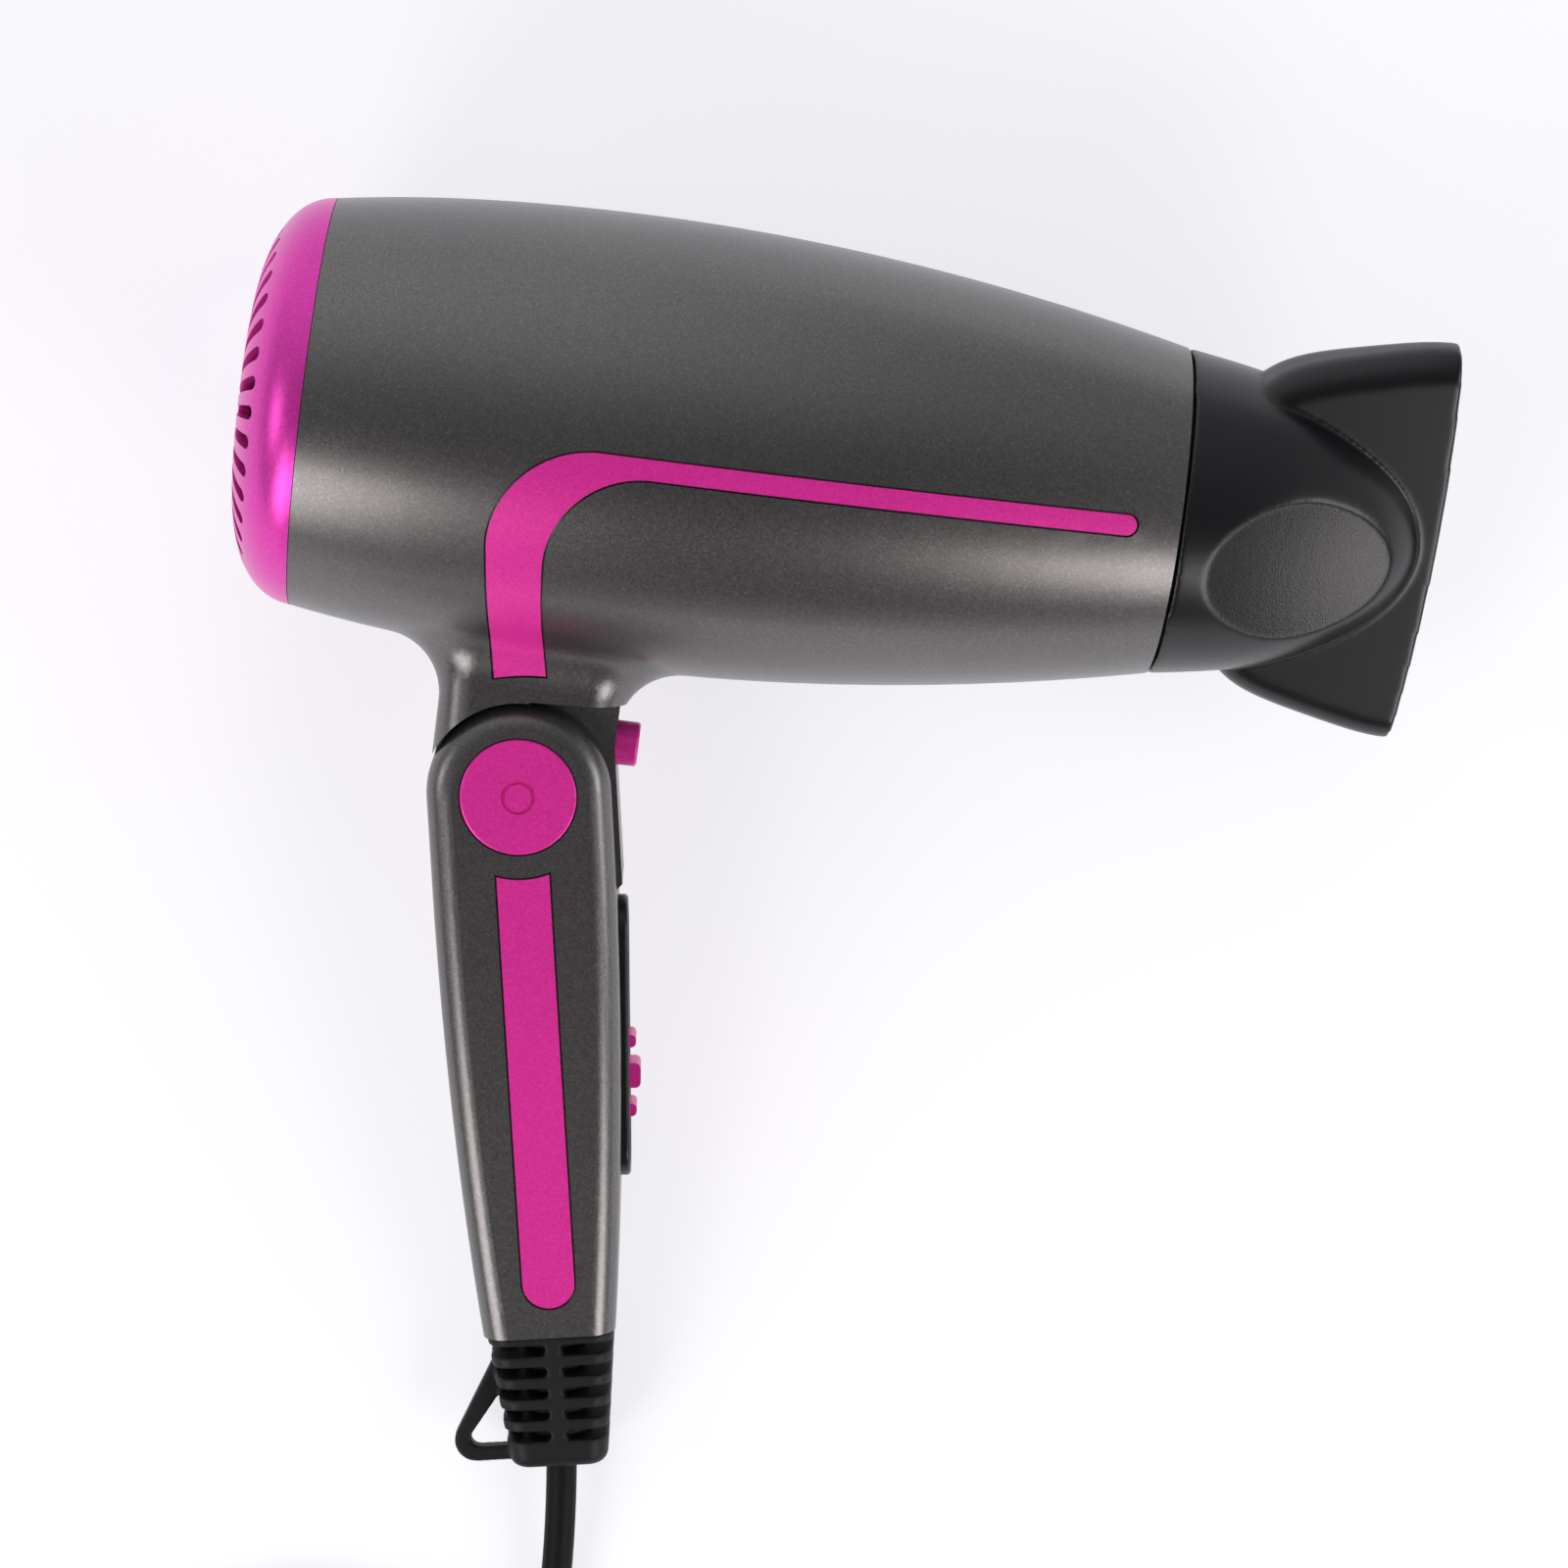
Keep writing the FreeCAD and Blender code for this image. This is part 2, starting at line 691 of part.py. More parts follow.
def fan():
    """Axial fan: rounded hub and pitched blades."""
    hub = revolved([
        ((FAN_START, 0), (FAN_START, 6.0)),
        ((FAN_START, 6.0), (FAN_START + 1.6, FAN_HUB - 2.4), (FAN_START + 5.0, FAN_HUB)),
        ((FAN_START + 5.0, FAN_HUB), (FAN_END, FAN_HUB)),
        ((FAN_END, FAN_HUB), (FAN_END, FAN_HUB - 1.8)),
        ((FAN_END, FAN_HUB - 1.8), (FAN_START + 7.0, FAN_HUB - 1.8)),
        ((FAN_START + 7.0, FAN_HUB - 1.8), (FAN_START + 7.0, 4.0)),
        ((FAN_START + 7.0, 4.0), (FAN_END, 4.0)),
        ((FAN_END, 4.0), (FAN_END, 0)),
        ((FAN_END, 0), (FAN_START, 0)),
    ])
    middle = (FAN_START + FAN_END) / 2 + 1.0
    reach = rod(FAN_RADIUS, V(FAN_START + 1, 0, 0), V(FAN_END, 0, 0))
    blades = []
    for i in range(FAN_BLADES):
        low = (middle - BLADE_HALF_CHORD, FAN_HUB - 1.2, -BLADE_HALF_THICK)
        high = (middle + BLADE_HALF_CHORD, FAN_RADIUS + 3, BLADE_HALF_THICK)
        blade = box(low, high)
        blade.rotate(V(middle, 0, 0), AXIS_Y, BLADE_PITCH)
        blades.append(turned(blade.common(reach), ORIGIN, AXIS_X, 360.0 / FAN_BLADES * i))
    shaft_bore = rod(SHAFT_RADIUS, V(FAN_START + 3, 0, 0), V(FAN_END + 1, 0, 0))
    return fused([hub] + blades).cut(shaft_bore)


def motor_shaft():
    return rod(SHAFT_RADIUS, V(FAN_START + 3, 0, 0), V(MOTOR_END + 2.5, 0, 0))


def armature():
    """Laminated core with five winding slots and the wire in them."""
    core = rod(ARMATURE_RADIUS, V(40, 0, 0), V(56, 0, 0))
    slots = []
    for i in range(5):
        slot = box((39, ARMATURE_RADIUS - 3.0, -0.9), (57, ARMATURE_RADIUS + 1, 0.9))
        slots.append(turned(slot, ORIGIN, AXIS_X, 72.0 * i))
    windings = ring_x(ARMATURE_RADIUS - 3.4, 3.0, 37.5, 58.5)
    return fused([core.cut(Part.makeCompound(slots)), windings]).cut(motor_shaft())


def commutator():
    body = rod(3.6, V(58.6, 0, 0), V(62.6, 0, 0))
    slots = [turned(box((58, 2.4, -0.2), (63, 4, 0.2)), ORIGIN, AXIS_X, 120.0 * i) for i in range(3)]
    return body.cut(Part.makeCompound(slots)).cut(motor_shaft())


def motor_can():
    """Steel can, closed at the fan end but for its bearing."""
    outer = rod(MOTOR_RADIUS, V(MOTOR_START, 0, 0), V(MOTOR_END, 0, 0))
    nose = rod(3.6, V(MOTOR_START - 2, 0, 0), V(MOTOR_START, 0, 0))
    inside = rod(MOTOR_RADIUS - MOTOR_WALL, V(MOTOR_START + MOTOR_WALL, 0, 0), V(MOTOR_END + 1, 0, 0))
    bearing = rod(SHAFT_RADIUS + 0.05, V(MOTOR_START - 3, 0, 0), V(MOTOR_END, 0, 0))
    return fused([outer, nose]).cut(inside).cut(bearing)


def motor_end_cap():
    """Moulded end that closes the can and carries the rear bearing."""
    plug = rod(MOTOR_RADIUS - MOTOR_WALL - 0.05, V(MOTOR_END - 1.0, 0, 0), V(MOTOR_END, 0, 0))
    cover = rod(MOTOR_RADIUS, V(MOTOR_END, 0, 0), V(MOTOR_END + 3.2, 0, 0))
    bearing = rod(SHAFT_RADIUS + 0.05, V(MOTOR_END - 2, 0, 0), V(MOTOR_END + 2.6, 0, 0))
    return fused([plug, cover]).cut(bearing)


def motor_magnets():
    """Two curved magnets inside the can."""
    ring = ring_x(MOTOR_RADIUS - MOTOR_WALL - 0.02, ARMATURE_RADIUS + 0.35, 38.5, 59.5)
    gap = box((30, -4.0, -20), (70, 4.0, 20))
    return ring.cut(gap)


def motor_brushes():
    pieces = []
    for side in (1, -1):
        low = min(3.7 * side, 8.5 * side)
        pieces.append(box((59.6, low, -1.2), (61.8, low + 4.8, 1.2)))
    return Part.makeCompound(pieces)


def motor_mount_ring():
    """Rubber ring between the motor and the hub."""
    return ring_x(MOUNT_RADIUS, MOTOR_RADIUS, 42.0, 56.0)


def rectifier_board():
    """Small round board behind the motor, on four stand-offs."""
    board = rod(12.5, V(69.4, 0, 0), V(70.8, 0, 0))
    pegs = []
    for i in range(4):
        peg = rod(0.8, V(MOTOR_END + 3.2, 8.5, 0), V(69.4, 8.5, 0))
        pegs.append(turned(peg, ORIGIN, AXIS_X, 90.0 * i + 45))
    return fused([board] + pegs)


def rectifier_diodes():
    pieces = []
    for i in range(4):
        y = -6.0 + 4.0 * i
        pieces.append(rod(1.1, V(71.9, y, -5.0), V(71.9, y, -0.5)))
    return Part.makeCompound(pieces)


def suppression_capacitor():
    body = box((70.8, -6.5, 2.5), (75.2, 4.5, 6.5))
    upright = [e for e in body.Edges if abs(e.tangentAt(e.FirstParameter).x) > 0.99]
    return body.makeFillet(1.2, upright)


# ======================================================================== heater
def heat_tube():
    """Mica liner round the heater."""
    return ring_x(HEAT_RADIUS, HEAT_RADIUS - HEAT_WALL, HEAT_START, HEAT_END)


def heating_coil():
    """Resistance winding round the board cross, in one continuous square helix."""
    points = []
    for i in range(COIL_TURNS * 4 + 1):
        angle = math.radians(90.0 * i)
        x = COIL_START + COIL_PITCH * i / 4
        points.append(V(x, COIL_RADIUS * math.cos(angle), COIL_RADIUS * math.sin(angle)))
    pieces = [rod(COIL_WIRE, a, b) for a, b in zip(points, points[1:])]
    knees = [Part.makeSphere(COIL_WIRE, p) for p in points]
    return fused(pieces + knees)


def mica_board(winding, upright):
    """One of two interlocking boards, notched for the winding."""
    width = HEAT_RADIUS - HEAT_WALL - 0.1
    half = BOARD_THICK / 2
    board = box((BOARD_START, -width, -half), (BOARD_END, width, half))
    middle = (BOARD_START + BOARD_END) / 2
    if upright:
        board = turned(board, ORIGIN, AXIS_X, 90)
        board = board.cut(box((BOARD_START - 1, -half, -half), (middle, half, half)))
    else:
        board = board.cut(box((middle, -half, -half), (BOARD_END + 1, half, half)))
    return board.cut(winding)


def thermostat():
    """Bimetal cut-out on the rear of the flat board."""
    base = box((84.0, 4.0, 0.4), (94.0, 16.0, 2.6))
    blade = box((85.0, 5.0, 3.4), (93.0, 20.0, 3.7))
    post = box((85.0, 5.0, 2.6), (88.0, 8.0, 3.4))
    return fused([base, blade, post])


def thermal_fuse():
    body = rod(1.6, V(84.5, -9.0, 2.0), V(93.5, -9.0, 2.0))
    tip = rod(0.8, V(93.5, -9.0, 2.0), V(96.0, -9.0, 2.0))
    return fused([body, tip])


def heater_leads():
    """Insulated wires from the heater down through the neck to the hinge."""
    wires = []
    for z in (-5.2, 0.0, 5.2):
        route = [
            (80.0, -15.0, z),
            (74.0, -27.0, z),
            (67.0, -40.5, z),
            (61.5, -44.2, z),
            (57.8, -49.5, z),
            (57.4, -54.0, z),
        ]
        wires.append(tube_along(route, LEAD_RADIUS)[0])
    return Part.makeCompound(wires)


# ======================================================================== outlet and nozzle
def outlet_grille():
    """Outlet spigot with rings and spokes; its flange is trapped in the shells."""
    spigot = ring_x(SPIGOT_RADIUS, SPIGOT_RADIUS - SPIGOT_WALL, SPIGOT_START, SPIGOT_END)
    flange = barrel_solid(WALL + 0.02, SPIGOT_START, SPIGOT_START + 3.0)
    flange = flange.cut(rod(SPIGOT_RADIUS - 0.5, V(160, 0, 0), V(190, 0, 0)))
    front = SPIGOT_START + 1.0
    back = front + GRID_DEPTH
    rings = [ring_x(r + GRID_HALF, r - GRID_HALF, front, back) for r in GRID_RINGS]
    spokes = []
    for i in range(GRID_SPOKES):
        spoke = box((front, GRID_RINGS[0], -GRID_HALF), (back, SPIGOT_RADIUS - 1.0, GRID_HALF))
        spokes.append(turned(spoke, ORIGIN, AXIS_X, 360.0 / GRID_SPOKES * i))
    root = SPIGOT_RADIUS - 0.3
    bead = revolved([
        ((BEAD_START, root), (BEAD_START + 0.6, SPIGOT_RADIUS + 0.12), (BEAD_START + 1.2, root)),
        ((BEAD_START + 1.2, root), (BEAD_START, root)),
    ])
    return fused([spigot, flange, bead] + rings + spokes)


def nozzle_snap_ring():
    """Open spring ring that turns on the spigot's lip and grips the nozzle."""
    seat = SPIGOT_RADIUS - SPIGOT_WALL
    ring = ring_x(seat - 0.05, seat - 1.3, SNAP_START, SNAP_START + SNAP_WIDTH)
    gap = box((SNAP_START - 1, 20, -1.5), (SNAP_START + SNAP_WIDTH + 1, 40, 1.5))
    return ring.cut(gap)


def ogive(inset, x_low):
    curve = [(x, r - inset) for x, r in OGIVE_CURVE]
    nose = (curve[-1][0] + (curve[-1][1] * 0.28), 0)
    whole = revolved([curve, (curve[-1], nose), (nose, (curve[0][0], 0)), ((curve[0][0], 0), curve[0])])
    return whole.common(ring_slab(x_low, 260))


def nozzle_blade(inset):
    """Flat flaring blade with rounded ends, tapering slightly in thickness."""
    root_x = BLADE_EDGE[0][0]
    length = BLADE_EDGE[-1][0] - root_x
    sections = []
    for x, half_width in BLADE_EDGE:
        taper = (BLADE_ROOT_HALF - BLADE_TIP_HALF) * (x - root_x) / length
        half_thick = BLADE_ROOT_HALF - taper - inset
        sections.append(rounded_section(x, half_width - inset, half_thick, BLADE_ROUND - inset))
    return Part.makeLoft(sections, True, False)


def lip_limit():
    """Large cylinder that gives the mouth its slight bow."""
    return Part.makeCylinder(LIP_RADIUS, 200, V(NOZZLE_TIP - LIP_RADIUS, 0, -100))


def thumb_pads(deeper):
    """Large balls that dish both broad sides of the ogive, `deeper` than the outer surface."""
    rise = PAD_REAR[1] - PAD_FRONT[1]
    run = PAD_FRONT[0] - PAD_REAR[0]
    chord = math.hypot(rise, run)
    height = math.sqrt(PAD_DISH ** 2 - (chord / 2) ** 2)
    x = (PAD_REAR[0] + PAD_FRONT[0]) / 2 + height * rise / chord
    z = (PAD_REAR[1] + PAD_FRONT[1]) / 2 + height * run / chord
    near = Part.makeSphere(PAD_DISH + deeper, V(x, 0, z))
    return near, turned(near, ORIGIN, AXIS_X, 180)


def concentrator_nozzle():
    """Round collar running into an ogive, with the flat blade across it."""
    collar = ogive(0, NOZZLE_START)
    near, far = thumb_pads(0)
    bullet = collar.cut(near).cut(far)
    outer = fused([bullet, nozzle_blade(0)])
    outer = outer.common(lip_limit())
    bore = rod(COLLAR_BORE, V(170, 0, 0), V(COLLAR_DEPTH, 0, 0))
    hollow = ogive(NOZZLE_WALL + 0.6, COLLAR_DEPTH - 0.5)
    near, far = thumb_pads(PAD_WALL)
    hollow = hollow.cut(near).cut(far)
    channel = nozzle_blade(NOZZLE_WALL)
    body = outer.cut(fused([bore, hollow, channel]))
    return turned(body, ORIGIN, AXIS_X, NOZZLE_TURN)


# ======================================================================== handle
def side_curve(u, start, bend, top):
    """Half width (or thickness) at distance u down the handle."""
    if u <= start:
        return top
    return top - (u - start) ** 2 / (2 * bend)


def handle_solid(inset, u_low, u_high):
    """Handle body `inset` inside its outer surface, from u_low to u_high, in the handle frame."""
    top = CHEEK_RADIUS - inset
    thick = HANDLE_HALF_THICK - inset
    end = HANDLE_END + 2.0

    def rear(u):
        return (-side_curve(u, REAR_BEND_START, REAR_BEND, top), -u)

    def front(u):
        return (side_curve(u, FRONT_BEND_START, FRONT_BEND, top), -u)

    rear_mid = (REAR_BEND_START + end) / 2
    front_mid = (FRONT_BEND_START + end) / 2
    plan = prism([
        ((-top, 0), (0, top), (top, 0)),
        ((top, 0), front(FRONT_BEND_START)),
        (front(FRONT_BEND_START), front(front_mid), front(end)),
        (front(end), rear(end)),
        (rear(end), rear(rear_mid), rear(REAR_BEND_START)),
        (rear(REAR_BEND_START), (-top, 0)),
    ], -40, 40)

    def face(u):
        return (-u, side_curve(u, FACE_BEND_START, FACE_BEND, thick))

    face_mid = (FACE_BEND_START + end) / 2
    back = [(p[0], -p[1]) for p in (face(FACE_BEND_START), face(face_mid), face(end))]
    side = prism([
        ((30, thick), face(FACE_BEND_START)),
        (face(FACE_BEND_START), face(face_mid), face(end)),
        (face(end), back[2]),
        (back[2], back[1], back[0]),
        (back[0], (30, -thick)),
        ((30, -thick), (30, thick)),
    ], -40, 40)
    side.rotate(ORIGIN, V(1, 1, 1), 120)
    body = plan.common(side)
    long_edges = []
    for edge in body.Edges:
        limits = edge.BoundBox
        one_side = limits.ZMin > 5 or limits.ZMax < -5
        at_end = limits.YMax < -HANDLE_END
        if one_side and not at_end:
            long_edges.append(edge)
    body = body.makeFillet(HANDLE_ROUND - inset * 0.8, long_edges)
    return body.common(box((-40, -u_high, -40), (40, -u_low, 40)))


def inlay_outline(grow):
    half = INLAY_HALF + grow
    top = INLAY_TOP - grow
    foot = INLAY_BOTTOM + grow
    shoulder = math.sqrt(top ** 2 - half ** 2)
    return [
        ((-half, -shoulder), (0, -top), (half, -shoulder)),
        ((half, -shoulder), (half, half - foot)),
        ((half, half - foot), (0, -foot), (-half, half - foot)),
        ((-half, half - foot), (-half, -shoulder)),
    ]


def handle_screw_sites():
    return [V(-10.0, -46.0, 0), V(-8.2, -100.0, 0)]


def handle_shells(outer):
    """Two half shells with the hinge cheeks, in the handle frame."""
    cavity = handle_solid(HANDLE_WALL, CAVITY_TOP, HANDLE_END + 5)
    sweep = Part.makeCylinder(TONGUE_SWEEP, 2 * CHEEK_INNER, V(0, 0, -CHEEK_INNER))
    throat = box((-15.5, -CAVITY_TOP - 1, -CHEEK_INNER), (15.0, 0, CHEEK_INNER))
    window = place_switch(turned_stadium(BEZEL_HALF_LENGTH + 0.1, BEZEL_HALF_WIDTH + 0.1, -6, 8))
    groove = side_skin(inlay_outline(TRIM_GAP), outer, TRIM_DEPTH)
    pocket = Part.makeCylinder(CAP_RADIUS + 0.25, 10, V(0, 0, HANDLE_HALF_THICK - CAP_THICK))
    well = Part.makeCylinder(BOLT_HEAD + 0.4, 10, V(0, 0, BOLT_HEAD_BASE))
    bore = Part.makeCylinder(PIN_RADIUS, 60, V(0, 0, -30))
    shell = outer.cut(fused([cavity, sweep, throat]))
    shell = shell.cut(window).cut(bore)
    for cut in (groove, pocket, well):
        shell = shell.cut(cut).cut(mirrored(cut))
    near = shell.common(box((-40, -200, PARTING), (40, 60, 40)))
    far = shell.common(box((-40, -200, -40), (40, 60, -PARTING)))
    for site in handle_screw_sites():
        depth = side_curve(-site.y, FACE_BEND_START, FACE_BEND, HANDLE_HALF_THICK)
        height = depth - POST_SINK - PARTING
        post = Part.makeCylinder(HANDLE_POST_NEAR, height, site + V(0, 0, PARTING))
        near = near.fuse(post).cut(Part.makeCylinder(PILOT_RADIUS, PILOT_DEPTH, site))
        far_post = Part.makeCylinder(HANDLE_POST_FAR, height, site + V(0, 0, -depth + POST_SINK))
        far = far.fuse(far_post)
        well_floor = site + V(0, 0, -depth - 1)
        far = far.cut(Part.makeCylinder(HANDLE_HEAD_WELL, depth - 3.0, well_floor))
        far = far.cut(screw_clearance(site))
    return near, far


def turned_stadium(half_length, half_width, x_low, x_high):
    """Stadium in the switch frame: long along Y, wide along Z, thick along X."""
    plate = prism(stadium(half_length, half_width), x_low, x_high)
    plate.rotate(ORIGIN, AXIS_Y, 90)
    return plate


def handle_screws():
    pieces = []
    for site in handle_screw_sites():
        piece = screw(HANDLE_SCREW_HEAD, SHANK_RADIUS, SCREW_HEAD_HEIGHT, HANDLE_SCREW_LENGTH)
        piece = turned(piece, ORIGIN, AXIS_X, 180)
        pieces.append(moved(piece, site + V(0, 0, -HANDLE_HEAD_SEAT)))
    return Part.makeCompound(pieces)


def handle_inlay(outer):
    return side_skin(inlay_outline(0), outer, TRIM_DEPTH - 0.05)


def pivot_cap():
    """Round cover over the hinge bolt, with a small ring groove."""
    low = HANDLE_HALF_THICK - CAP_THICK
    disc = Part.makeCylinder(CAP_RADIUS, CAP_THICK + 0.15, V(0, 0, low))
    rim = [e for e in disc.Edges if e.BoundBox.ZMin > HANDLE_HALF_THICK]
    disc = disc.makeFillet(0.5, rim)
    groove = Part.makeCylinder(3.6, 2, V(0, 0, HANDLE_HALF_THICK - 0.3))
    groove = groove.cut(Part.makeCylinder(2.75, 2, V(0, 0, HANDLE_HALF_THICK - 0.3)))
    return disc.cut(groove)


def hinge_bolt():
    """Shouldered hinge bolt; its head lies under the near cap."""
    shank = Part.makeCylinder(PIN_RADIUS, BOLT_HEAD_BASE + 10.2, V(0, 0, -10.2))
    thread = Part.makeCylinder(PIN_RADIUS - 0.5, 7.0, V(0, 0, -16.0))
    head = Part.makeCylinder(BOLT_HEAD, BOLT_HEAD_TOP - BOLT_HEAD_BASE, V(0, 0, BOLT_HEAD_BASE))
    slot = box((-4.0, -0.6, BOLT_HEAD_TOP - 1.0), (4.0, 0.6, BOLT_HEAD_TOP + 1))
    return fused([shank, thread, head]).cut(slot)


def hinge_nut():
    """Hexagon nut under the far cap."""
    across = 5.2
    turns = [math.radians(60 * i) for i in range(6)]
    corners = [(across * math.cos(turn), across * math.sin(turn)) for turn in turns]
    nut = prism(closed(corners), -16.2, -14.0)
    return nut.cut(Part.makeCylinder(PIN_RADIUS - 0.5, 20, V(0, 0, -20)))


# ======================================================================== switch
def switch_bezel():
    """Frame round the slider, with a floor that guides the slider's stem."""
    plate = turned_stadium(BEZEL_HALF_LENGTH, BEZEL_HALF_WIDTH, -3.2, BEZEL_PROUD)
    rim = [e for e in plate.Edges if e.BoundBox.XMin > BEZEL_PROUD - 0.1]
    plate = plate.makeFillet(0.9, rim)
    well_length = SLIDER_HALF_LENGTH + SLIDER_TRAVEL / 2 + RUN_GAP
    well = turned_stadium(well_length, SLIDER_HALF_WIDTH + RUN_GAP, -1.6, 9)
    reach = STEM_HALF_LENGTH + SLIDER_TRAVEL / 2 + RUN_GAP
    side = STEM_HALF_WIDTH + RUN_GAP
    guide = box((-9, -reach, -side), (0, reach, side))
    return plate.cut(well).cut(guide)


def switch_slider():
    """Sliding plate with three cross ribs, in its rest place at the lower end."""
    top = BEZEL_PROUD - 0.3
    plate = turned_stadium(SLIDER_HALF_LENGTH, SLIDER_HALF_WIDTH, -1.3, top)
    plate = moved(plate, V(0, SLIDER_SHIFT, 0))
    rim = [e for e in plate.Edges if e.BoundBox.XMin > top - 0.1]
    plate = plate.makeFillet(0.6, rim)
    half = SLIDER_HALF_WIDTH - 0.9
    ribs = []
    for y, height, length in ((-0.5, 1.7, 2.8), (-8.0, 2.6, 5.4), (-15.5, 1.7, 2.8)):
        rib = box((top - 0.3, y - length / 2, -half), (top + height, y + length / 2, half))
        crest = [e for e in rib.Edges if e.BoundBox.XMin > top + height - 0.1 and e.BoundBox.ZLength > 2]
        ribs.append(rib.makeFillet(min(1.2, length * 0.4), crest))
    return fused([plate] + ribs)


def slider_carriage():
    """Stem under the slider that drives the switch."""
    low = SLIDER_SHIFT - STEM_HALF_LENGTH
    high = SLIDER_SHIFT + STEM_HALF_LENGTH
    return box((-6.6, low, -STEM_HALF_WIDTH), (-1.3, high, STEM_HALF_WIDTH))


def slide_switch():
    """Switch body with an open top slot for the stem."""
    body = box((-17.5, -20.0, -7.6), (-4.2, 20.0, 7.6))
    reach = STEM_HALF_LENGTH + SLIDER_TRAVEL / 2 + 0.6
    slot = box((-7.2, -reach, -STEM_HALF_WIDTH - 0.5), (0, reach, STEM_HALF_WIDTH + 0.5))
    return body.cut(slot)


def switch_terminals():
    """Five solder tags on the back of the switch."""
    pieces = []
    for i in range(5):
        y = -14.0 + 7.0 * i
        pieces.append(box((-22.0, y - 1.6, -0.4), (-17.5, y + 1.6, 0.4)))
    return Part.makeCompound(pieces)


# ======================================================================== cool-shot button
def cool_shot_button():
    """Round push button with a retaining flange inside the tongue."""
    knob = rod(BUTTON_RADIUS, V(NECK_FRONT - BUTTON_ROOT + 0.4, BUTTON_Y, 0), V(BUTTON_FACE, BUTTON_Y, 0))
    rim = [e for e in knob.Edges if e.BoundBox.XMin > BUTTON_FACE - 0.1]
    knob = knob.makeFillet(0.7, rim)
    stop = NECK_FRONT - TONGUE_WALL - RUN_GAP
    flange = rod(BUTTON_FLANGE, V(NECK_FRONT - BUTTON_ROOT, BUTTON_Y, 0), V(stop, BUTTON_Y, 0))
    return fused([knob, flange])


def cool_shot_switch():
    """Micro switch behind the button."""
    body = box((55.5, BUTTON_Y - 3.4, -6.0), (61.5, BUTTON_Y + 7.0, 6.0))
    plunger = rod(1.2, V(61.5, BUTTON_Y, 0), V(63.0, BUTTON_Y, 0))
    return fused([body, plunger])


# ======================================================================== boot, loop and inner cord
def boot_solid():
    """Tapered boot with rounded edges, in the handle frame."""
    top = HANDLE_END
    low = BOOT_END
    plan = prism(closed([(-14.0, -top), (13.2, -top), (10.1, -low), (-10.6, -low)]), -30, 30)
    side = prism(closed([(-top, 12.3), (-top, -12.3), (-low, -9.8), (-low, 9.8)]), -30, 30)
    side.rotate(ORIGIN, V(1, 1, 1), 120)
    body = plan.common(side)
    long_edges = []
    for edge in body.Edges:
        if edge.BoundBox.YLength > 10:
            long_edges.append(edge)
    body = body.makeFillet(4.6, long_edges)
    foot = [e for e in body.Edges if e.BoundBox.YMax < -low + 0.1]
    return body.makeFillet(3.0, foot)


def hanging_loop():
    """Triangular eye on the rear of the boot."""
    half = LOOP_HALF_THICK
    outer = prism(closed([(-8.0, -121.5), (-11.5, -121.5), (-26.0, -147.7), (-8.0, -147.7)]), -half, half)
    outer = outer.makeFillet(LOOP_ROUND, upright_edges(outer, -30, -20))
    hole = prism(closed([(-11.6, -131.5), (-21.2, -144.5), (-10.2, -144.5)]), -half - 1, half + 1)
    hole = hole.makeFillet(EYE_ROUND, upright_edges(hole, -30, -20))
    hole = hole.makeFillet(EYE_ROUND / 2, upright_edges(hole, -12, -10))
    return outer.cut(hole)


def upright_edges(solid, x_low, x_high):
    """Edges of a plate that run across its thickness, between two stations of X."""
    found = []
    for edge in solid.Edges:
        limits = edge.BoundBox
        upright = limits.ZLength > 1 and limits.XLength < 0.1 and limits.YLength < 0.1
        if upright and x_low < limits.Center.x < x_high:
            found.append(edge)
    return found


def boot_slot(u, side):
    """One flex slot, open at the boot's side and round at the spine."""
    near = side * BOOT_SPINE
    far = side * 30.0
    slot = box((min(near, far), -u - BOOT_SLOT / 2, -20), (max(near, far), -u + BOOT_SLOT / 2, 20))
    return slot.makeFillet(SLOT_ROUND, upright_edges(slot, near - 0.1, near + 0.1))


def strain_relief():
    """Rubber boot with five pairs of flex slots and the hanging loop in one moulding."""
    body = boot_solid()
    core = rod(BOOT_CORE, V(0, -BOOT_FIRST + 6, 0), V(0, -BOOT_END, 0))
    slots = []
    for i in range(BOOT_SLOTS):
        u = BOOT_FIRST + BOOT_PITCH * i
        slots += [boot_slot(u, 1), boot_slot(u, -1)]
    slots = Part.makeCompound(slots).cut(core)
    loop = hanging_loop()
    grown = fused([body.cut(slots), loop])
    bore = rod(CORD_RADIUS, V(0, -HANDLE_END + 5, 0), V(0, -BOOT_END - 1, 0))
    plug = handle_solid(HANDLE_WALL + 0.05, HANDLE_END - 5.0, HANDLE_END)
    return fused([grown, plug]).cut(bore)


def cord_inner_end():
    """The sheathed end of the cord inside the boot and the clamp."""
    return rod(CORD_RADIUS, V(0, -103.0, 0), V(0, -BOOT_END, 0))


def cord_clamp():
    """Saddle that holds the sheath to the far shell, and its two screws."""
    bar = box((-8.6, -109.5, CORD_RADIUS - 0.8), (8.6, -104.5, CORD_RADIUS + 1.6))
    bar = bar.cut(rod(CORD_RADIUS, V(0, -115, 0), V(0, -100, 0)))
    for x in (-6.2, 6.2):
        bar = bar.cut(Part.makeCylinder(1.4, 20, V(x, -107.0, -5)))
    return bar


def clamp_screws():
    pieces = []
    for x in (-6.2, 6.2):
        pieces.append(moved(screw(2.2, 1.3, 1.3, 9.0), V(x, -107.0, CORD_RADIUS + 2.9)))
    return Part.makeCompound(pieces)


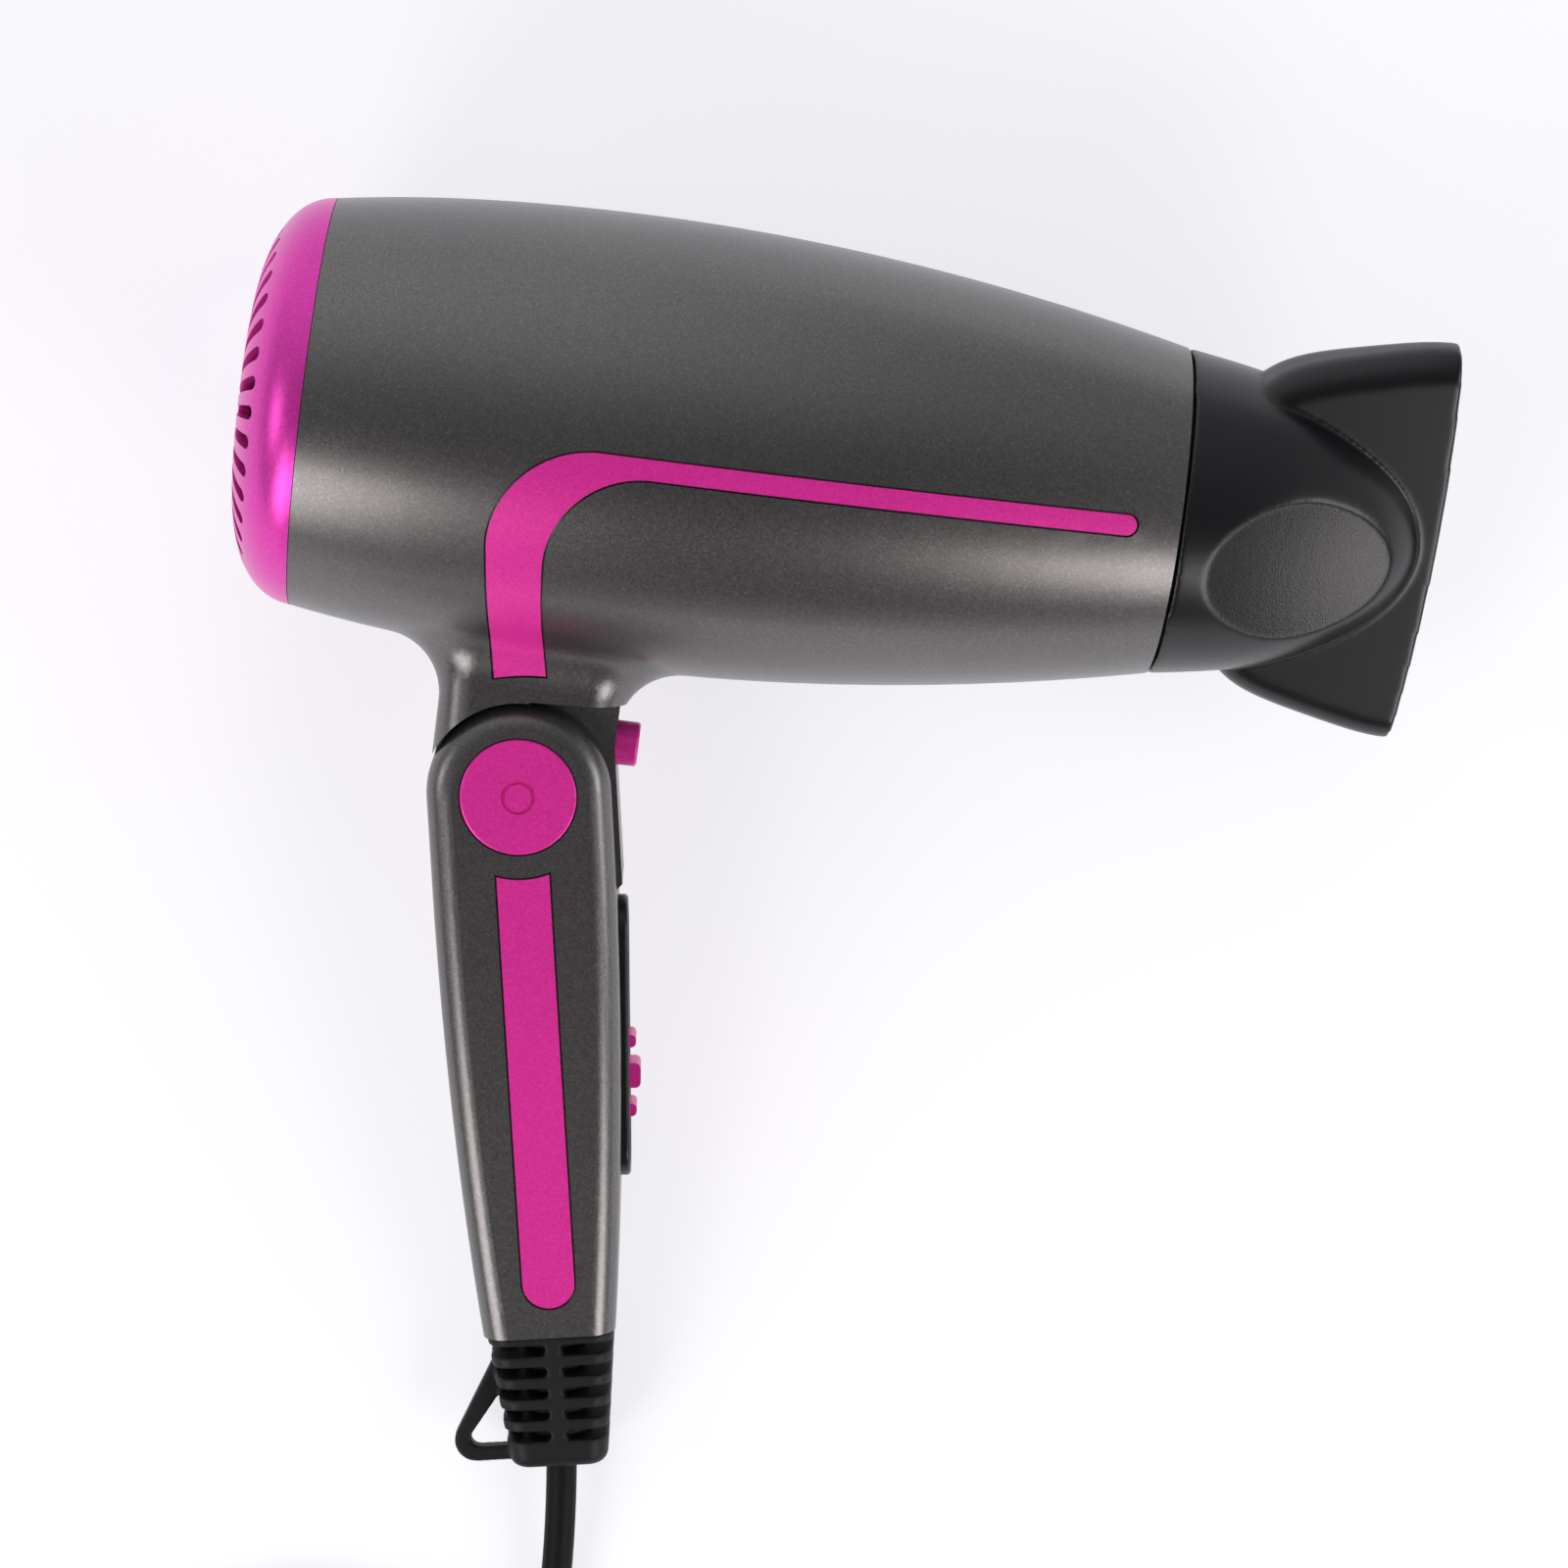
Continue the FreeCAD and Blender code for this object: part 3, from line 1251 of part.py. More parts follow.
def handle_leads():
    """Two insulated wires from the sheath up to the switch."""
    wires = []
    for z, end in ((-1.7, -70.0), (1.7, -62.0)):
        route = [(0.0, -103.0, z), (-1.0, -94.0, z), (-6.0, -84.0, z * 1.6), (-8.0, end, z * 1.6)]
        wires.append(tube_along(route, LEAD_RADIUS)[0])
    return Part.makeCompound(wires)


# ======================================================================== cord, coil and plug
def cord_coil():
    """Outer shape of the wound coil: a ring two turns high with rounded edges."""
    low = 0.1
    height = CORD_RADIUS * 2 + TURN_PITCH * (COIL_LAYERS - 1)
    outer = Part.makeCylinder(COIL_OUTER + CORD_RADIUS, height, COIL_CENTRE + V(0, 0, low))
    inner = Part.makeCylinder(COIL_INNER - CORD_RADIUS, height + 2, COIL_CENTRE + V(0, 0, low - 1))
    ring = outer.cut(inner)
    rims = [e for e in ring.Edges if e.BoundBox.ZLength < 0.01 and e.BoundBox.XLength > 10]
    return ring.makeFillet(2.5, rims)


def report_tube(name, shape, points, bends):
    length = Part.makePolygon([V(*p) for p in points]).Length
    section = math.pi * CORD_RADIUS ** 2
    bends_text = ", ".join("%.0f" % bend for bend in bends)
    print("%s: bend radii %s mm, volume / section %.1f mm, runs %.1f mm"
          % (name, bends_text, shape.Volume / section, length))


def free_cord(name, points, neighbours):
    """One stretch of cord that isn't coiled, ending where it meets the coil or the plug."""
    tube, bends = tube_along(points, CORD_RADIUS)
    report_tube(name, tube, points, bends)
    for neighbour in neighbours:
        tube = tube.cut(neighbour)
    return tube


def mains_plug():
    """Two-pin plug moulded onto the cord, its face towards -X, drawn at the cord's end."""
    collar = Part.makeCone(5.0, 6.6, 20.0, ORIGIN, V(-1, 0, 0))
    grooves = []
    for i in range(4):
        x = -4.0 - 3.6 * i
        grooves.append(ring_x(9.0, 4.4, x - 1.4, x).cut(box((x - 2, -1.2, -9), (x + 1, 1.2, 9))))
    sections = [
        rounded_section(-18.0, 7.0, 7.0, 6.8),
        rounded_section(-23.0, 11.5, 9.6, 8.0),
        rounded_section(-29.0, 15.8, 12.0, 9.6),
        rounded_section(-37.0, PLUG_HALF_WIDTH, PLUG_HALF_THICK, 11.0),
        rounded_section(-PLUG_LENGTH, PLUG_HALF_WIDTH, PLUG_HALF_THICK, 11.0),
    ]
    body = Part.makeLoft(sections, True, False)
    plug = fused([collar.cut(Part.makeCompound(grooves)), body])
    return plug.cut(Part.makeCompound([pin_root(foot) for foot, _ in plug_pin_ends()]))


def plug_pin_ends():
    """Foot and tip of each pin, in the plug's own frame."""
    ends = []
    for side in (1, -1):
        y = side * PLUG_PIN_SPACING / 2
        ends.append((V(-PLUG_LENGTH, y, 0), V(-PLUG_LENGTH - PLUG_PIN_LENGTH, y, 0)))
    return ends


def plug_pins():
    """Two round pins with domed tips."""
    pieces = []
    for foot, tip in plug_pin_ends():
        pin = rod(PLUG_PIN_RADIUS, foot, tip)
        dome = [e for e in pin.Edges if e.BoundBox.XMax < tip.x + 0.1]
        pieces.append(fused([pin.makeFillet(PLUG_PIN_DOME, dome), pin_root(foot)]))
    return Part.makeCompound(pieces)


def pin_root(foot):
    """Thinner shank of a pin inside the plug's moulding."""
    return rod(PLUG_ROOT_RADIUS, foot + V(PLUG_ROOT_LENGTH, 0, 0), foot)


# ======================================================================== build
def build_barrel():
    outer = barrel_outer()
    near, far = barrel_shells(outer)
    export("barrel_shell_near", near)
    export("barrel_shell_far", far)
    trim = side_skin(trim_outline(0), outer, TRIM_DEPTH - 0.05)
    export("barrel_trim_near", trim)
    export("barrel_trim_far", mirrored(trim))
    export("barrel_screws", barrel_screws())
    export("rear_grille", rear_grille())
    export("inlet_screen", inlet_screen())
    export("outlet_grille", outlet_grille())
    export("nozzle_snap_ring", turned(nozzle_snap_ring(), ORIGIN, AXIS_X, NOZZLE_TURN))
    export("concentrator_nozzle", concentrator_nozzle())


def build_motor():
    export("motor_housing", motor_housing())
    export("fan", fan())
    export("motor_shaft", motor_shaft())
    export("armature", armature())
    export("commutator", commutator())
    export("motor_can", motor_can())
    export("motor_end_cap", motor_end_cap())
    export("motor_magnets", motor_magnets())
    export("motor_brushes", motor_brushes())
    export("motor_mount_ring", motor_mount_ring())
    export("rectifier_board", rectifier_board())
    export("rectifier_diodes", rectifier_diodes())
    export("suppression_capacitor", suppression_capacitor())


def build_heater():
    winding = heating_coil()
    export("heating_coil", winding)
    export("mica_board_flat", mica_board(winding, False))
    export("mica_board_upright", mica_board(winding, True))
    export("heat_tube", heat_tube())
    export("thermostat", thermostat())
    export("thermal_fuse", thermal_fuse())
    export("heater_leads", heater_leads())
    export("cool_shot_button", cool_shot_button())
    export("cool_shot_switch", cool_shot_switch())


def build_handle():
    outer = handle_solid(0, -40, HANDLE_END)
    near, far = handle_shells(outer)
    inlay = handle_inlay(outer)
    cap = pivot_cap()
    pieces = {
        "handle_shell_near": near,
        "handle_shell_far": far,
        "handle_inlay_near": inlay,
        "handle_inlay_far": mirrored(inlay),
        "pivot_cap_near": cap,
        "pivot_cap_far": mirrored(cap),
        "hinge_bolt": hinge_bolt(),
        "hinge_nut": hinge_nut(),
        "handle_screws": handle_screws(),
        "strain_relief": strain_relief(),
        "cord_inner_end": cord_inner_end(),
        "cord_clamp": cord_clamp(),
        "clamp_screws": clamp_screws(),
        "handle_leads": handle_leads(),
        "switch_bezel": place_switch(switch_bezel()),
        "switch_slider": place_switch(switch_slider()),
        "slider_carriage": place_switch(slider_carriage()),
        "slide_switch": place_switch(slide_switch()),
        "switch_terminals": place_switch(switch_terminals()),
    }
    for name, shape in pieces.items():
        export(name, place_handle(shape))


def build_cord():
    """Cord, coil and plug are drawn where they lie, in the resting frame."""
    coil = cord_coil()
    plug_end = V(*TAIL_ROUTE[-1])
    plug = moved(mains_plug(), plug_end)
    pieces = {
        "mains_cord": free_cord("mains_cord", CORD_ROUTE, [coil]),
        "cord_coil": coil,
        "cord_tail": free_cord("cord_tail", TAIL_ROUTE, [coil, plug]),
        "mains_plug": plug,
        "plug_pins": moved(plug_pins(), plug_end),
    }
    for name, shape in pieces.items():
        shape.exportStep("parts/" + name + ".step")


def main():
    os.makedirs("parts", exist_ok=True)
    build_barrel()
    build_motor()
    build_heater()
    build_handle()
    build_cord()


main()
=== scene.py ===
import json
import math

import bpy
from mathutils import Matrix, Vector


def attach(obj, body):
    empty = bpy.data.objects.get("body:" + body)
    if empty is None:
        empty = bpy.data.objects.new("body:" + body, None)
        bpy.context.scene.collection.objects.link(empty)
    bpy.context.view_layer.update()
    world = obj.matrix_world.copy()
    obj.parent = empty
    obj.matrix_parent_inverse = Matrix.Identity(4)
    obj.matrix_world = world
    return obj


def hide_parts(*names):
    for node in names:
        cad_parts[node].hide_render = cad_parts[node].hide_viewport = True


# Looks of the folding travel hair dryer: finishes, mains cord, floor, light and camera.
# Metres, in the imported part's own frame.

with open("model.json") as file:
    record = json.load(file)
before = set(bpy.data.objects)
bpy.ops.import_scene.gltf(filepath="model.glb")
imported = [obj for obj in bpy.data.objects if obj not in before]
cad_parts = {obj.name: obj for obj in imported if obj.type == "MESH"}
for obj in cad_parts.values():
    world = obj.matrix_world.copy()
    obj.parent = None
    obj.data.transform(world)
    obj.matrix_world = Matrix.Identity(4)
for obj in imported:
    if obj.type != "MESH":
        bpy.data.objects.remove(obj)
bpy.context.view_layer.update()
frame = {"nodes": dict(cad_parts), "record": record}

MM = 0.001

# ---- how the dryer lies: the same resting pose as in the CAD source
REST_ROLL = math.radians(9.8)
REST_PITCH = math.radians(2.1)
REST_SHIFT = Vector((-110.41, 86.75, 50.01)) * MM
NOZZLE_TURN = math.radians(15.5)

# ---- dished thumb pads of the nozzle, in millimetres in the dryer's upright frame
PAD_CENTRE = Vector((268.3, 0.0, 170.5))
PAD_DISH = 160.0
PAD_REACH = 0.12

# ---- camera: straight above, turned a little so that the handle leans as it is seen
CAMERA_PLACE = (-0.0035, 0.01995, 1.1)
CAMERA_TURN = math.radians(7.156)
CAMERA_LENS = 115.76
SENSOR = 36.0

# ---- pieces with broken edges: voxel and bevel in metres, rounds of smoothing, and the sharpest
# angle that stays as it is
NOZZLE_VOXEL = 0.0005
NOZZLE_ROUNDS = 13
BOOT_VOXEL = 0.0003
BOOT_ROUNDS = 12
TRIM_BEVEL = 0.00025
BEVEL_STEPS = 3
BEVEL_ANGLE = math.radians(50)
SMOOTHING = 0.5

# ---- mains cord: control points in millimetres, from the boot to the coil and on to the plug
CORD_RADIUS = 3.3
CORD_ROUTE = [
    (-33.1, -130.1, 9.7),
    (-31.4, -145.0, 7.4),
    (-30.9, -170.0, 3.6),
    (-31.5, -194.0, 3.4),
    (-31.9, -216.5, 3.4),
]
TAIL_ROUTE = [
    (-79.2, -263.8, 10.0),
    (-91.0, -264.3, 10.2),
    (-103.0, -264.1, 12.4),
    (-113.0, -264.0, 13.1),
]
COIL_CENTRE = (-79.2, -216.5)
COIL_OUTER = 47.3
COIL_INNER = 28.0
LAYER_LOW = 3.4
LAYER_HIGH = 10.0
LAYER_TURNS = 2.875
CLIMB_TURNS = 0.5
POINTS_PER_TURN = 16
CURVE_STEPS = 6


# ======================================================================== camera and cord
def make_camera():
    data = bpy.data.cameras.new("camera")
    data.lens = CAMERA_LENS
    data.sensor_width = SENSOR
    camera = bpy.data.objects.new("camera", data)
    camera.location = CAMERA_PLACE
    camera.rotation_euler = (0, 0, CAMERA_TURN)
    bpy.context.scene.collection.objects.link(camera)
    bpy.context.scene.camera = camera


def coil_point(turns):
    """Point of the winding after so many turns: in along the lower layer, up, and out again."""
    pitch = (COIL_OUTER - COIL_INNER) / LAYER_TURNS
    up = min(max((turns - LAYER_TURNS) / CLIMB_TURNS, 0.0), 1.0)
    inward = min(turns, LAYER_TURNS)
    outward = max(turns - LAYER_TURNS - CLIMB_TURNS, 0.0)
    radius = COIL_OUTER - pitch * (inward - outward)
    radius /= math.cos(math.pi / POINTS_PER_TURN)
    angle = -2 * math.pi * turns
    x = COIL_CENTRE[0] + radius * math.cos(angle)
    y = COIL_CENTRE[1] + radius * math.sin(angle)
    return (x, y, LAYER_LOW + (LAYER_HIGH - LAYER_LOW) * up)


def make_cord():
    """The whole flex as one curve: out of the boot, through the stored coil and into the plug."""
    total = 2 * LAYER_TURNS + CLIMB_TURNS
    steps = round(total * POINTS_PER_TURN)
    winding = [coil_point(total * i / steps) for i in range(1, steps)]
    points = CORD_ROUTE + winding + TAIL_ROUTE
    curve = bpy.data.curves.new("mains_flex", "CURVE")
    curve.dimensions = "3D"
    curve.resolution_u = CURVE_STEPS
    curve.bevel_resolution = CURVE_STEPS
    # the thickness is set by the points' radius, so the curve's box is as wide as the flex itself
    curve.bevel_depth = 1.0
    curve.use_fill_caps = True
    spline = curve.splines.new("NURBS")
    spline.points.add(len(points) - 1)
    for target, point in zip(spline.points, points):
        target.co = (point[0] * MM, point[1] * MM, point[2] * MM, 1)
        target.radius = CORD_RADIUS * MM
    spline.order_u = 3
    spline.use_endpoint_u = True
    flex = bpy.data.objects.new("mains_flex", curve)
    bpy.context.scene.collection.objects.link(flex)
    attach(flex, "handle")
    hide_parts("mains_cord", "cord_coil", "cord_tail")
    return flex


def copy_of(node, name):
    """A piece of its own with a node's solid."""
    source = frame["nodes"][node]
    piece = bpy.data.objects.new(name, source.data.copy())
    piece.matrix_world = source.matrix_world
    bpy.context.scene.collection.objects.link(piece)
    return piece


def bake_piece(piece, node, body):
    """Bakes a piece's modifiers and puts it in the node's place."""
    graph = bpy.context.evaluated_depsgraph_get()
    mesh = bpy.data.meshes.new_from_object(piece.evaluated_get(graph))
    piece.modifiers.clear()
    piece.data = mesh
    mesh.materials.clear()
    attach(piece, body)
    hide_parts(node)


def rounded_copy(node, body, name, voxel, rounds):
    """A node's solid with an even skin, with its edges and corners rounded off."""
    piece = copy_of(node, name)
    skin = piece.modifiers.new("even_skin", "REMESH")
    skin.mode = "VOXEL"
    skin.voxel_size = voxel
    soften = piece.modifiers.new("soften", "SMOOTH")
    soften.factor = SMOOTHING
    soften.iterations = rounds
    bake_piece(piece, node, body)
    faces = piece.data.polygons
    faces.foreach_set("use_smooth", [True] * len(faces))
    return piece


def edged_copy(node, body):
    """A node's solid with its sharp edges broken by a narrow round."""
    piece = copy_of(node, node + "_edged")
    bevel = piece.modifiers.new("broken_edge", "BEVEL")
    bevel.width = TRIM_BEVEL
    bevel.segments = BEVEL_STEPS
    bevel.limit_method = "ANGLE"
    bevel.angle_limit = BEVEL_ANGLE
    bevel.harden_normals = True
    bake_piece(piece, node, body)
    return piece


make_camera()
pieces = [(make_cord(), "cord_sheath")]
for node, body, name, slot, voxel, rounds in (
    ("concentrator_nozzle", "nozzle", "nozzle_skin", "nozzle_black", NOZZLE_VOXEL, NOZZLE_ROUNDS),
    ("strain_relief", "handle", "boot_skin", "boot_rubber", BOOT_VOXEL, BOOT_ROUNDS),
):
    pieces.append((rounded_copy(node, body, name, voxel, rounds), slot))
for node, body in (
    ("barrel_trim_near", "barrel"),
    ("barrel_trim_far", "barrel"),
    ("handle_inlay_near", "handle"),
    ("handle_inlay_far", "handle"),
):
    pieces.append((edged_copy(node, body), "trim_magenta"))


# ======================================================================== material helpers
class Finish:
    """One Principled shader, with noise read in the piece's own coordinates."""

    def __init__(self, name, metallic=0.0, coat=0.0, coat_roughness=0.2, specular=0.5):
        self.material = bpy.data.materials.new(name)
        self.material.use_nodes = True
        self.tree = self.material.node_tree
        self.shader = self.tree.nodes["Principled BSDF"]
        self.shader.inputs["Metallic"].default_value = metallic
        self.shader.inputs["Coat Weight"].default_value = coat
        self.shader.inputs["Coat Roughness"].default_value = coat_roughness
        self.shader.inputs["Specular IOR Level"].default_value = specular
        self.place = self.tree.nodes.new("ShaderNodeTexCoord").outputs["Object"]

    def link(self, source, target):
        self.tree.links.new(source, target)

    def math(self, operation, first, second=None):
        node = self.tree.nodes.new("ShaderNodeMath")
        node.operation = operation
        for socket, value in zip(node.inputs, (first, second)):
            if isinstance(value, (int, float)):
                socket.default_value = value
            elif value is not None:
                self.link(value, socket)
        return node.outputs[0]

    def noise(self, grain, detail=2.0, roughness=0.5):
        """Noise whose blotches are about `grain` metres across."""
        node = self.tree.nodes.new("ShaderNodeTexNoise")
        node.inputs["Scale"].default_value = 1.0 / grain
        node.inputs["Detail"].default_value = detail
        node.inputs["Roughness"].default_value = roughness
        self.link(self.place, node.inputs["Vector"])
        return node.outputs["Fac"]

    def cells(self, size):
        """A random value for each tiny flake."""
        node = self.tree.nodes.new("ShaderNodeTexVoronoi")
        node.inputs["Scale"].default_value = 1.0 / size
        self.link(self.place, node.inputs["Vector"])
        split = self.tree.nodes.new("ShaderNodeSeparateColor")
        self.link(node.outputs["Color"], split.inputs["Color"])
        return split.outputs["Red"]

    def ramp(self, value, stops):
        """Colour ramp: stops are (position, colour)."""
        node = self.tree.nodes.new("ShaderNodeValToRGB")
        elements = node.color_ramp.elements
        while len(elements) < len(stops):
            elements.new(0.5)
        for element, (position, colour) in zip(elements, stops):
            element.position = position
            element.color = (*colour, 1)
        self.link(value, node.inputs["Fac"])
        return node.outputs["Color"]

    def mix(self, factor, first, second, blend="MIX"):
        node = self.tree.nodes.new("ShaderNodeMix")
        node.data_type = "RGBA"
        node.blend_type = blend
        for key, value in (("Factor", factor), ("A", first), ("B", second)):
            socket = node.inputs[key]
            if isinstance(value, (int, float)):
                socket.default_value = value
            elif isinstance(value, tuple):
                socket.default_value = (*value, 1)
            else:
                self.link(value, socket)
        return node.outputs["Result"]

    def rough(self, value, low, high):
        """Roughness that follows a noise between two values."""
        node = self.tree.nodes.new("ShaderNodeMapRange")
        node.inputs["From Min"].default_value = 0.3
        node.inputs["From Max"].default_value = 0.7
        node.inputs["To Min"].default_value = low
        node.inputs["To Max"].default_value = high
        self.link(value, node.inputs["Value"])
        self.link(node.outputs["Result"], self.shader.inputs["Roughness"])

    def bump(self, value, depth, strength=1.0):
        """Surface relief `depth` metres high; each call adds to the last."""
        node = self.tree.nodes.new("ShaderNodeBump")
        node.inputs["Strength"].default_value = strength
        node.inputs["Distance"].default_value = depth
        self.link(value, node.inputs["Height"])
        before = self.shader.inputs["Normal"].links
        if before:
            self.link(before[0].from_socket, node.inputs["Normal"])
        self.link(node.outputs["Normal"], self.shader.inputs["Normal"])


# grain of the paint in metres: flakes, the cloud that they lie in, and the drift of the whole tone
FLAKE = 0.00022
CLOUD = 0.0006
DRIFT = 0.03
CLOUD_RELIEF = 0.000012
FLAKE_RELIEF = 0.000004
MOULD_DRIFT = 0.02
METAL_RELIEF = 0.00001
PAD_GRAIN = 0.0004
PAD_RELIEF = 0.00005


def scaled(colour, factor):
    return tuple(min(1.0, channel * factor) for channel in colour)


def flake_paint(name, colour, metallic, low, high, sparkle, coat):
    """Satin metallic paint: fine bright and dark flakes under a thin satin lacquer."""
    finish = Finish(name, metallic=metallic, coat=coat, coat_roughness=0.34)
    flakes = finish.cells(FLAKE)
    cloud = finish.noise(CLOUD, detail=3.0)
    drift = finish.noise(DRIFT, detail=1.0)
    speck = finish.ramp(flakes, [
        (0.0, scaled(colour, 1 - sparkle)),
        (0.72, colour),
        (0.93, scaled(colour, 1 + sparkle)),
        (1.0, scaled(colour, 1 + 3.2 * sparkle)),
    ])
    shade = finish.ramp(cloud, [(0.3, (0.86, 0.86, 0.86)), (0.7, (1.0, 1.0, 1.0))])
    tone = finish.ramp(drift, [(0.3, (0.96, 0.96, 0.965)), (0.7, (1.0, 0.995, 0.99))])
    mixed = finish.mix(1.0, speck, shade, "MULTIPLY")
    mixed = finish.mix(1.0, mixed, tone, "MULTIPLY")
    finish.link(mixed, finish.shader.inputs["Base Color"])
    finish.rough(cloud, low, high)
    finish.bump(cloud, CLOUD_RELIEF, 0.6)
    finish.bump(flakes, FLAKE_RELIEF, 0.5)
    return finish.material


def moulded(name, colour, low, high, grain, depth, specular=0.5):
    """Moulded plastic or rubber: slight tone drift and the fine grain of its mould."""
    finish = Finish(name, specular=specular)
    fine = finish.noise(grain, detail=3.0)
    drift = finish.noise(MOULD_DRIFT, detail=2.0)
    tone = finish.ramp(drift, [(0.3, scaled(colour, 0.9)), (0.7, scaled(colour, 1.08))])
    finish.link(tone, finish.shader.inputs["Base Color"])
    finish.rough(fine, low, high)
    finish.bump(fine, depth)
    return finish


def metal(name, colour, low, high, grain):
    finish = Finish(name, metallic=1.0)
    fine = finish.noise(grain, detail=4.0)
    tone = finish.ramp(fine, [(0.3, scaled(colour, 0.88)), (0.7, scaled(colour, 1.05))])
    finish.link(tone, finish.shader.inputs["Base Color"])
    finish.rough(fine, low, high)
    finish.bump(fine, METAL_RELIEF, 0.5)
    return finish.material


# ======================================================================== finishes
def dryer_to_frame(turn=0.0):
    """Matrix from the dryer's upright frame, in metres, to the resting one."""
    rest = Matrix.Rotation(REST_PITCH, 4, "Y") @ Matrix.Rotation(REST_ROLL + turn, 4, "X")
    return Matrix.Translation(REST_SHIFT) @ rest


def nozzle_black():
    """Satin black with a coarser grain on the two dished thumb pads."""
    black = (0.0048, 0.0054, 0.0064)
    finish = moulded("nozzle_black", black, 0.28, 0.34, 0.0005, 0.000006, 0.42)
    mask = None
    for side in (0.0, math.pi):
        centre = dryer_to_frame(NOZZLE_TURN + side) @ (PAD_CENTRE * MM)
        measure = finish.tree.nodes.new("ShaderNodeVectorMath")
        measure.operation = "DISTANCE"
        measure.inputs[1].default_value = centre
        finish.link(finish.place, measure.inputs[0])
        beyond = finish.math("SUBTRACT", measure.outputs["Value"], PAD_DISH * MM)
        away = finish.math("ABSOLUTE", beyond)
        on_pad = finish.math("LESS_THAN", away, PAD_REACH * MM)
        mask = on_pad if mask is None else finish.math("MAXIMUM", mask, on_pad)
    grain = finish.math("MULTIPLY", finish.noise(PAD_GRAIN, detail=1.0), mask)
    finish.bump(grain, PAD_RELIEF, 0.9)
    return finish.material


def plain(name, colour, low, high, grain, depth, specular=0.5):
    return moulded(name, colour, low, high, grain, depth, specular).material


FINISHES = {
    "shell_gunmetal": flake_paint("shell_gunmetal", (0.168, 0.163, 0.161), 0.9, 0.30, 0.37, 0.15, 0.1),
    "trim_magenta": flake_paint("trim_magenta", (0.87, 0.028, 0.385), 0.22, 0.32, 0.40, 0.1, 0.15),
    "cap_magenta": flake_paint("cap_magenta", (0.80, 0.04, 0.46), 0.6, 0.30, 0.37, 0.12, 0.2),
    "nozzle_black": nozzle_black(),
    "outlet_black": plain("outlet_black", (0.007, 0.007, 0.0075), 0.5, 0.6, 0.0006, 0.00001, 0.3),
    "bezel_black": plain("bezel_black", (0.008, 0.009, 0.011), 0.26, 0.36, 0.0008, 0.000005, 0.4),
    "boot_rubber": plain("boot_rubber", (0.008, 0.008, 0.0083), 0.46, 0.56, 0.0004, 0.00001, 0.25),
    "cord_sheath": plain("cord_sheath", (0.0035, 0.0036, 0.0039), 0.5, 0.6, 0.0007, 0.000008, 0.16),
    "plug_black": plain("plug_black", (0.006, 0.006, 0.0063), 0.42, 0.52, 0.0005, 0.00001, 0.3),
    "pin_nickel": metal("pin_nickel", (0.78, 0.76, 0.71), 0.16, 0.26, 0.0006),
    "steel": metal("steel", (0.56, 0.56, 0.57), 0.26, 0.4, 0.0008),
    "brass": metal("brass", (0.72, 0.52, 0.24), 0.25, 0.4, 0.0008),
    "mica": plain("mica", (0.55, 0.48, 0.36), 0.35, 0.55, 0.0015, 0.00002),
    "heater_wire": metal("heater_wire", (0.32, 0.3, 0.28), 0.35, 0.5, 0.0006),
    "magnet_grey": plain("magnet_grey", (0.1, 0.1, 0.105), 0.55, 0.7, 0.0006, 0.00001),
    "board_green": plain("board_green", (0.03, 0.17, 0.07), 0.35, 0.5, 0.001, 0.00001),
    "component_dark": plain("component_dark", (0.03, 0.03, 0.033), 0.3, 0.42, 0.0008, 0.000006),
    "lead_insulation": plain("lead_insulation", (0.6, 0.58, 0.53), 0.45, 0.6, 0.0008, 0.000008),
}


# the grille cap's paint has more metal in it than the trims'
OWN_FINISH = {"rear_grille": "cap_magenta"}


def dress_nodes():
    for part in frame["record"]["subparts"]:
        node = frame["nodes"][part["node"]]
        finish = OWN_FINISH.get(part["node"], part["material_slot"])
        for held in node.material_slots:
            held.material = FINISHES[finish]
    for piece, slot in pieces:
        piece.data.materials.append(FINISHES[slot])


dress_nodes()


# ======================================================================== floor and light
FLOOR_GLOW = 0.7
FLOOR_WHITE = 0.42
FLOOR_HALF = 4.0
# brightness of the room from its front (0) past overhead (0.5) to its back (1)
ROOM = [
    (0.0, 0.16), (0.3, 0.08), (0.5, 0.24), (0.6, 0.36),
    (0.7, 0.6), (0.8, 0.82), (0.9, 0.94), (1.0, 0.98),
]
# how much of that the room has on its left (0) and on its right (1), where it is darker
ROOM_SIDES = [(0.25, 1.0), (0.5, 0.94), (0.6, 0.55), (0.75, 0.4), (0.95, 0.7)]


# the softboxes point at the middle of the dryer
AIM = Vector((0.0, 0.0, 0.04))
WARM = (1.0, 0.94, 0.945)


def make_floor():
    """A plain pale table that fills the view from every side."""
    half = FLOOR_HALF
    mesh = bpy.data.meshes.new("floor")
    corners = [(-half, -half, 0), (half, -half, 0), (half, half, 0), (-half, half, 0)]
    mesh.from_pydata(corners, [], [(0, 1, 2, 3)])
    floor = bpy.data.objects.new("floor", mesh)
    bpy.context.scene.collection.objects.link(floor)
    material = bpy.data.materials.new("floor_white")
    material.use_nodes = True
    shader = material.node_tree.nodes["Principled BSDF"]
    shader.inputs["Base Color"].default_value = (*[FLOOR_WHITE] * 3, 1)
    shader.inputs["Roughness"].default_value = 0.9
    shader.inputs["Emission Color"].default_value = (0.95, 0.95, 1.0, 1)
    shader.inputs["Emission Strength"].default_value = FLOOR_GLOW
    mesh.materials.append(material)


